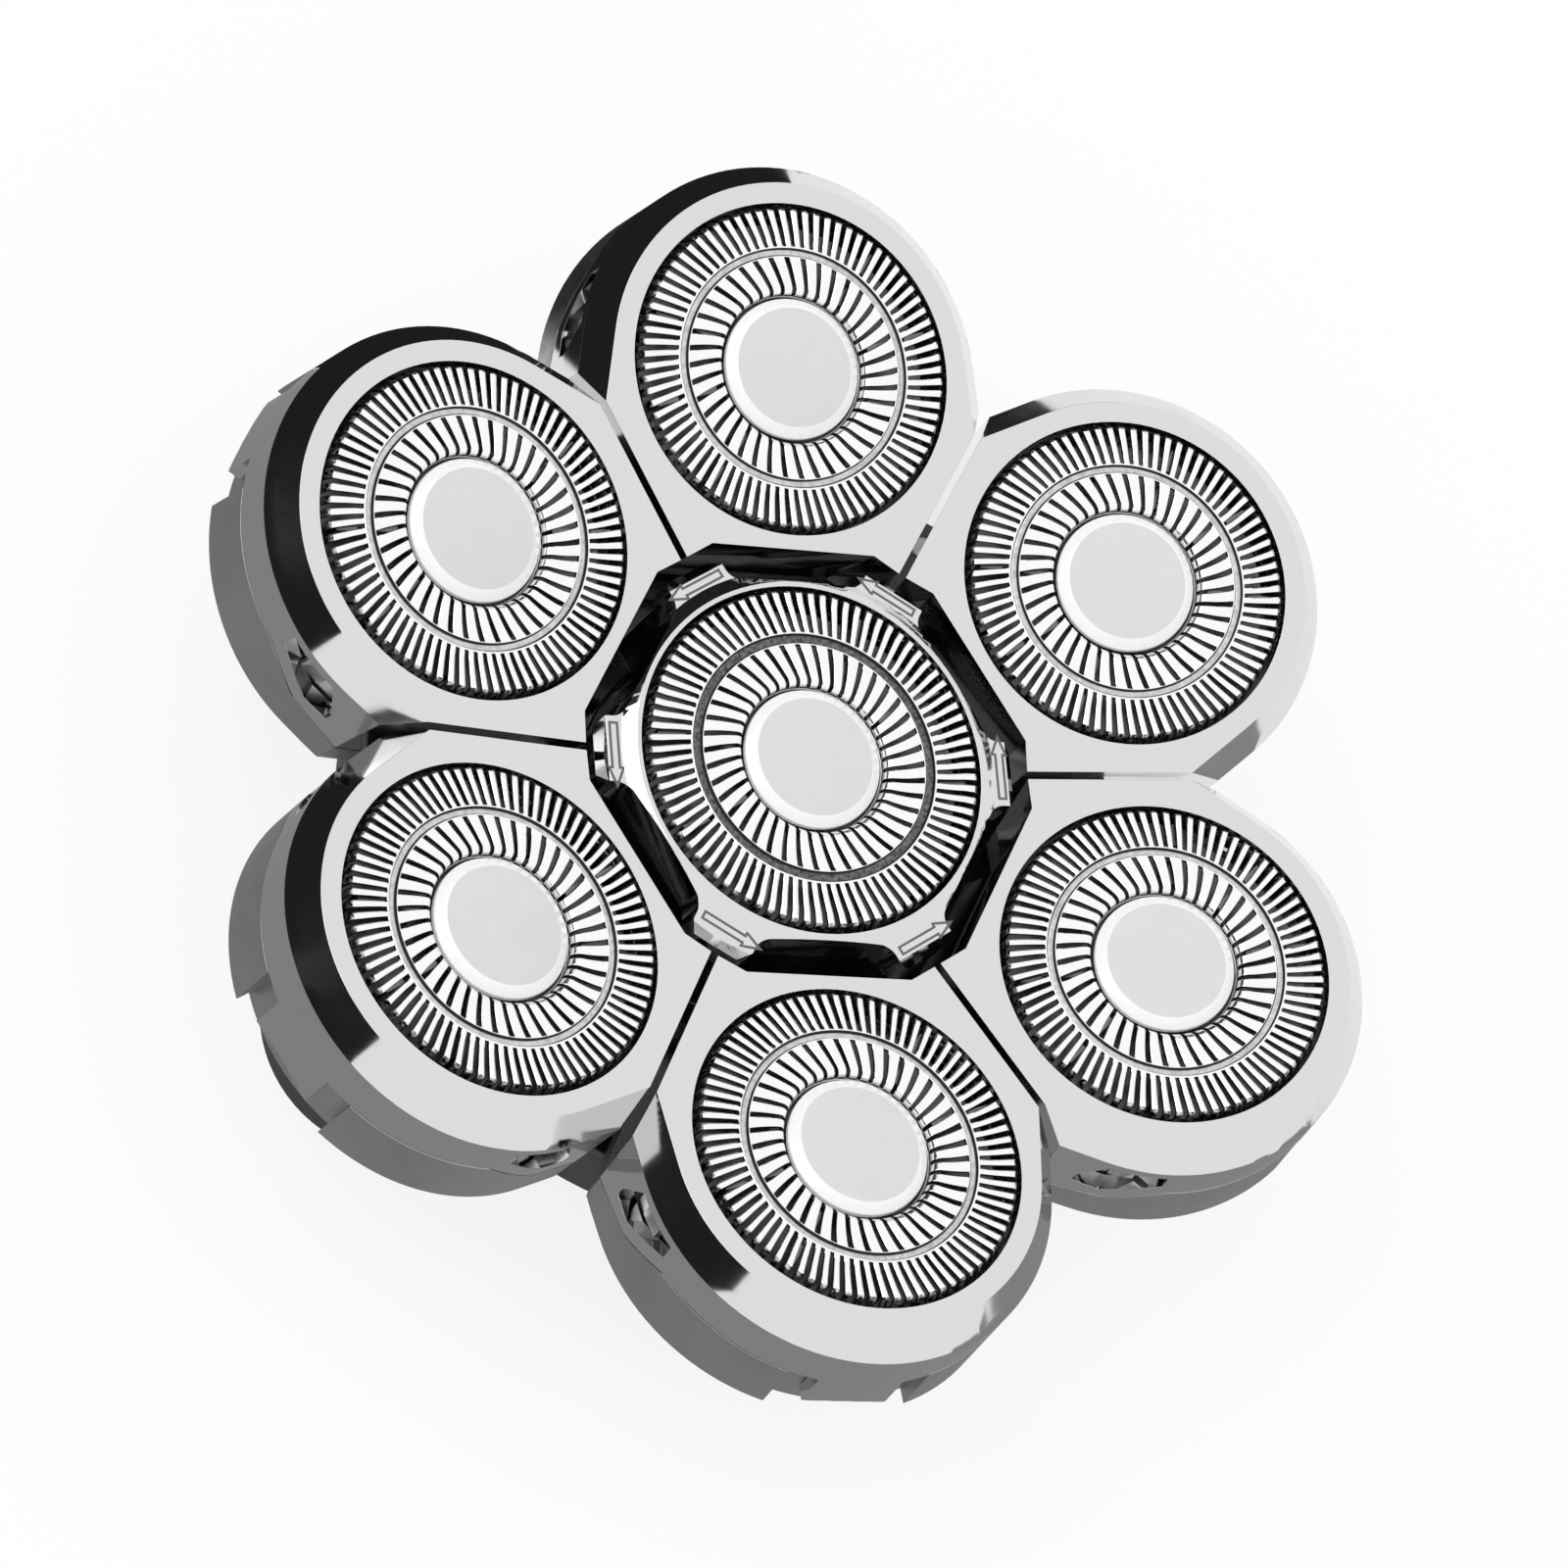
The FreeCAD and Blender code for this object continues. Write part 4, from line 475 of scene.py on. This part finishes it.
def make_foil(station, foil, ring_material):
    """Slotted foil. On a grid of rows along the profile and columns round the axis, a point is
    (r cos a, r sin a, z), and a = column angle + slant(r), so the slots lean. A slot is the grid's missing
    faces; Solidify gives the sheet its thickness. A group is the columns of one bar and one slot, a bar its
    first columns, a bar's share its part of the pitch, and a slant is degrees a millimetre."""
    outer_group = 6
    outer_bar = 3
    outer_bar_share = 13 / 24
    inner_group = outer_group * foil["outer_slots"] // foil["inner_slots"]
    inner_bar = inner_group * 2 // 3
    inner_bar_share = 2 / 3
    outer_slant = 0.92
    outer_slant_reach = 2.4
    inner_slant = 2.2
    sharp_angle = 40
    ring_out = foil["ring_out"]
    ring_in = foil["ring_in"]
    columns = foil["outer_slots"] * outer_group

    rows = foil_profile(foil["wall"], foil["shoulder"], ring_out, ring_in)
    radius = np.array([row[0] for row in rows])
    height = np.array([row[1] for row in rows])
    band = np.array([row[2] for row in rows[:-1]])

    outer_part = np.clip(radius - ring_out, 0, outer_slant_reach)
    inner_part = np.clip(radius - WELL_RADIUS, 0, ring_in - WELL_RADIUS)
    slant = np.radians(outer_slant * outer_part + inner_slant * inner_part)
    outer_angles = column_angles(columns, outer_group, outer_bar, outer_bar_share)
    inner_angles = column_angles(columns, inner_group, inner_bar, inner_bar_share)
    is_inner = radius < (ring_out + ring_in) / 2
    angle = np.where(is_inner[:, None], inner_angles[None, :], outer_angles[None, :]) + slant[:, None]
    points = np.stack([radius[:, None] * np.cos(angle), radius[:, None] * np.sin(angle),
                       np.broadcast_to(height[:, None], angle.shape)], axis=2).reshape(-1, 3)

    position = np.arange(columns)
    solid = np.ones((len(band), columns), bool)
    solid[np.isin(band, (TRACK, WALL))] = position % outer_group < outer_bar
    solid[band == INNER_TRACK] = position % inner_group < inner_bar
    row, here = np.nonzero(solid)
    after = (here + 1) % columns
    faces = np.stack([row * columns + here, row * columns + after,
                      (row + 1) * columns + after, (row + 1) * columns + here], axis=1)

    node = "centre_foil" if station == 0 else f"foil_{station}"
    body = "centre_head" if station == 0 else f"pod_{station}"
    piece = add_piece(f"{node}_slotted", points, faces.tolist(), pod_matrix(station),
                      FINISHES["foil_steel"], body)
    # Beside the bare steel: the wall's painted shade, the ring, and the near-black painted shade
    for material in (WALL_PAINTED_SHADE, ring_material, SLOT_SHADOW):
        piece.data.materials.append(material)
    piece.data.polygons.foreach_set("material_index", MATERIAL_OF_BAND[band[row]].astype(np.int32))
    shade(piece.data, sharp_angle)
    sheet = piece.modifiers.new("sheet", "SOLIDIFY")
    sheet.thickness = FOIL_THICKNESS * MM
    sheet.offset = -1
    # The sheet's inner side and rims take the near-black painted shade
    sheet.material_offset = SHADED
    sheet.material_offset_rim = SHADED
    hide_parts(node)


def ribbon(outline, width, height):
    """Closed flat band inside an outline: each corner and its copy moved inwards along the corner's
    bisector, joined by quads."""
    corners = np.array(outline, float)
    before = corners - np.roll(corners, 1, axis=0)
    after = np.roll(corners, -1, axis=0) - corners
    before /= np.linalg.norm(before, axis=1)[:, None]
    after /= np.linalg.norm(after, axis=1)[:, None]
    side = np.stack([-before[:, 1], before[:, 0]], axis=1)
    bisector = side + np.stack([-after[:, 1], after[:, 0]], axis=1)
    bisector /= np.linalg.norm(bisector, axis=1)[:, None]
    reach = width / np.sum(bisector * side, axis=1)
    inner = corners + bisector * reach[:, None]
    flat = np.concatenate([corners, inner])
    points = np.column_stack([flat, np.full(len(flat), height)])
    count = len(corners)
    here = np.arange(count)
    following = (here + 1) % count
    faces = np.stack([here, following, count + following, count + here], axis=1)
    return points, faces.tolist()


def make_arrow(lobe):
    """Outline arrow on a lobe of the centre cap, pointing counterclockwise round the head."""
    first_lobe = 30
    out = 13.37
    tail = -1.8
    neck = 1.2
    tip = 2.7
    half = 0.33
    barb = 0.62
    line = 0.16
    thickness = 0.02
    outline = [(out - half, tail), (out + half, tail), (out + half, neck), (out + barb, neck),
               (out, tip), (out - barb, neck), (out - half, neck)]
    points, faces = ribbon(outline, line, thickness / 2 - LOBE_DROP)
    turn = Matrix.Rotation(math.radians(first_lobe + STATION_ANGLE * lobe), 4, "Z")
    piece = add_piece(f"arrow_{lobe + 1}", points, faces, pod_matrix(0) @ turn, ARROW_INK,
                      "centre_head")
    relief = piece.modifiers.new("relief", "SOLIDIFY")
    relief.thickness = thickness * MM
    relief.offset = 0


# Stage and light, in metres


def background_rays(tree):
    """Socket that is 1 for the rays that show the background: the camera's, and those off metal or
    through glass."""
    path = tree.nodes.new("ShaderNodeLightPath")
    seen = tree.nodes.new("ShaderNodeMath")
    seen.operation = "MAXIMUM"
    tree.links.new(path.outputs["Is Camera Ray"], seen.inputs[0])
    tree.links.new(path.outputs["Is Glossy Ray"], seen.inputs[1])
    seen_all = tree.nodes.new("ShaderNodeMath")
    seen_all.operation = "MAXIMUM"
    tree.links.new(seen.outputs[0], seen_all.inputs[0])
    tree.links.new(path.outputs["Is Transmission Ray"], seen_all.inputs[1])
    return seen_all.outputs[0]


def floor_white():
    """Lit white that the camera and the metal see mostly as plain white, with a trace of the shadow."""
    plain_share = 0.85
    material = bpy.data.materials.new("floor_white")
    material.use_nodes = True
    tree = material.node_tree
    shader = tree.nodes["Principled BSDF"]
    shader.inputs["Base Color"].default_value = (0.98, 0.98, 0.98, 1)
    shader.inputs["Roughness"].default_value = 0.9
    plain = tree.nodes.new("ShaderNodeEmission")
    share = tree.nodes.new("ShaderNodeMath")
    share.operation = "MULTIPLY"
    share.inputs[1].default_value = plain_share
    tree.links.new(background_rays(tree), share.inputs[0])
    mix = tree.nodes.new("ShaderNodeMixShader")
    tree.links.new(share.outputs[0], mix.inputs["Fac"])
    tree.links.new(shader.outputs["BSDF"], mix.inputs[1])
    tree.links.new(plain.outputs["Emission"], mix.inputs[2])
    tree.links.new(mix.outputs["Shader"], tree.nodes["Material Output"].inputs["Surface"])
    return material


def make_floor():
    """Square white floor at the height that the object stands on."""
    half = 3.0
    mesh = bpy.data.meshes.new("floor")
    corners = [(-half, -half, 0), (half, -half, 0), (half, half, 0), (-half, half, 0)]
    mesh.from_pydata(corners, [], [(0, 1, 2, 3)])
    mesh.materials.append(floor_white())
    floor = bpy.data.objects.new("floor", mesh)
    bpy.context.scene.collection.objects.link(floor)


def add_card(name, edge, other_edge, brightness):
    """Card of the studio that only shows in the metal: a strip of quads between two edges with as many
    points each."""
    count = len(edge)
    here = np.arange(count - 1)
    faces = np.stack([here, here + 1, count + here + 1, count + here], axis=1)
    mesh = bpy.data.meshes.new(name)
    mesh.from_pydata(np.concatenate([edge, other_edge]), [], faces.tolist())
    material = bpy.data.materials.new(name)
    material.use_nodes = True
    shader = material.node_tree.nodes["Principled BSDF"]
    shader.inputs["Base Color"].default_value = (0, 0, 0, 1)
    shader.inputs["Specular IOR Level"].default_value = 0.0
    shader.inputs["Emission Color"].default_value = (1, 1, 1, 1)
    shader.inputs["Emission Strength"].default_value = brightness
    mesh.materials.append(material)
    card = bpy.data.objects.new(name, mesh)
    bpy.context.scene.collection.objects.link(card)
    card.visible_camera = False
    card.visible_diffuse = False
    card.visible_shadow = False
    card.visible_transmission = False


def arc(radius, start, end, height):
    """Points (radius cos a, radius sin a, height), a from start to end in degrees."""
    count = 60
    turn = np.radians(np.linspace(start, end, count))
    return np.column_stack([radius * np.cos(turn), radius * np.sin(turn), np.full(count, height)])


def make_side_card(start, end, low, high, radius, brightness):
    """Card that stands round one side of the object: an upright strip of a cylinder."""
    add_card("side_card", arc(radius, start, end, low), arc(radius, start, end, high), brightness)


def make_floor_card(name, start, end, inner, outer, height, brightness):
    """Card that lies on one side of the floor: a flat ring's sector."""
    add_card(name, arc(outer, start, end, height), arc(inner, start, end, height), brightness)


def make_cards():
    """The dark and grey cards that give the polished caps their bands."""
    black = 0.016
    grey = 0.28
    far = 0.5
    make_side_card(start=42, end=194, low=0.0, high=0.42, radius=far, brightness=black)
    make_floor_card("grey_floor_card", start=96, end=313, inner=0.0, outer=0.45, height=0.0002,
                    brightness=grey)
    make_floor_card("black_floor_card", start=44, end=96, inner=0.043, outer=far, height=0.0004,
                    brightness=black)
    make_floor_card("far_black_floor_card", start=96, end=150, inner=0.075, outer=far, height=0.0004,
                    brightness=black)


def make_world():
    """White surroundings for the camera and the metal; softer light on everything else."""
    soft = 0.85
    full = 1.0
    world = bpy.data.worlds.new("studio")
    bpy.context.scene.world = world
    world.use_nodes = True
    tree = world.node_tree
    background = tree.nodes["Background"]
    background.inputs["Color"].default_value = (1, 1, 1, 1)
    strength = tree.nodes.new("ShaderNodeMapRange")
    strength.inputs["To Min"].default_value = soft
    strength.inputs["To Max"].default_value = full
    tree.links.new(background_rays(tree), strength.inputs["Value"])
    tree.links.new(strength.outputs["Result"], background.inputs["Strength"])


def make_key_light():
    """Large soft light from one side, facing the object."""
    data = bpy.data.lights.new("key", "AREA")
    data.size = 0.9
    data.energy = 4.0
    place = Vector((-0.5, 0.6, 0.9))
    aim = Vector((0, 0, 0.015))
    light = bpy.data.objects.new("key", data)
    light.location = place
    light.rotation_euler = (aim - place).to_track_quat("-Z", "Y").to_euler()
    bpy.context.scene.collection.objects.link(light)


def make_camera():
    """Camera at the photograph's viewing angle, aimed beside the centre at the height of its face."""
    aim = Vector((-0.002831, -0.000518, FACE_HEIGHT * MM))
    distance = 0.37668
    azimuth = math.radians(-170.105)
    elevation = math.radians(59.513)
    roll = math.radians(49.534)
    away = Vector((math.cos(elevation) * math.cos(azimuth), math.cos(elevation) * math.sin(azimuth),
                   math.sin(elevation)))
    level = Vector((0, 0, 1)).cross(away).normalized()
    upright = away.cross(level)
    right = level * math.cos(roll) + upright * math.sin(roll)
    data = bpy.data.cameras.new("camera")
    data.sensor_width = 36.0
    data.lens = 136.55
    data.clip_start = 0.01
    camera = bpy.data.objects.new("camera", data)
    pose = Matrix((right, away.cross(right), away)).transposed().to_4x4()
    pose.translation = aim + away * distance
    camera.matrix_world = pose
    bpy.context.scene.collection.objects.link(camera)
    bpy.context.scene.camera = camera


def make_head():
    """The object's dressed pieces."""
    finish_nodes()
    for station in range(1, STATIONS + 1):
        dress(f"cap_{station}", FINISHES["cap_chrome"], bevel=0.2)
        dress(f"shell_{station}", FINISHES["shell_satin"], bevel=0.1)
        # Each badge's bevel faces take the near-white painted highlight
        dress(f"badge_{station}", FINISHES["badge_steel"], bevel=0.06, edge_material=RIM_PAINTED_HIGHLIGHT)
        make_foil(station, OUTER_FOIL, RING_STEEL)
        make_spring(station)
    dress("centre_cap", FINISHES["cap_chrome"], bevel=0.16)
    # The centre badge's bevel takes the same painted highlight
    dress("centre_badge", FINISHES["badge_steel"], bevel=0.06, edge_material=RIM_PAINTED_HIGHLIGHT)
    dress("gear_cover", FINISHES["base_black"], bevel=0.15)
    dress("gear_housing", FINISHES["base_black"], bevel=0.2)
    make_foil(0, CENTRE_FOIL, DARK_RING_STEEL)
    for lobe in range(STATIONS):
        make_arrow(lobe)


def make_studio():
    """The floor, cards, surroundings, light and camera."""
    make_floor()
    make_world()
    make_cards()
    make_key_light()
    make_camera()
    bpy.context.scene.view_settings.view_transform = "Standard"


make_head()
make_studio()
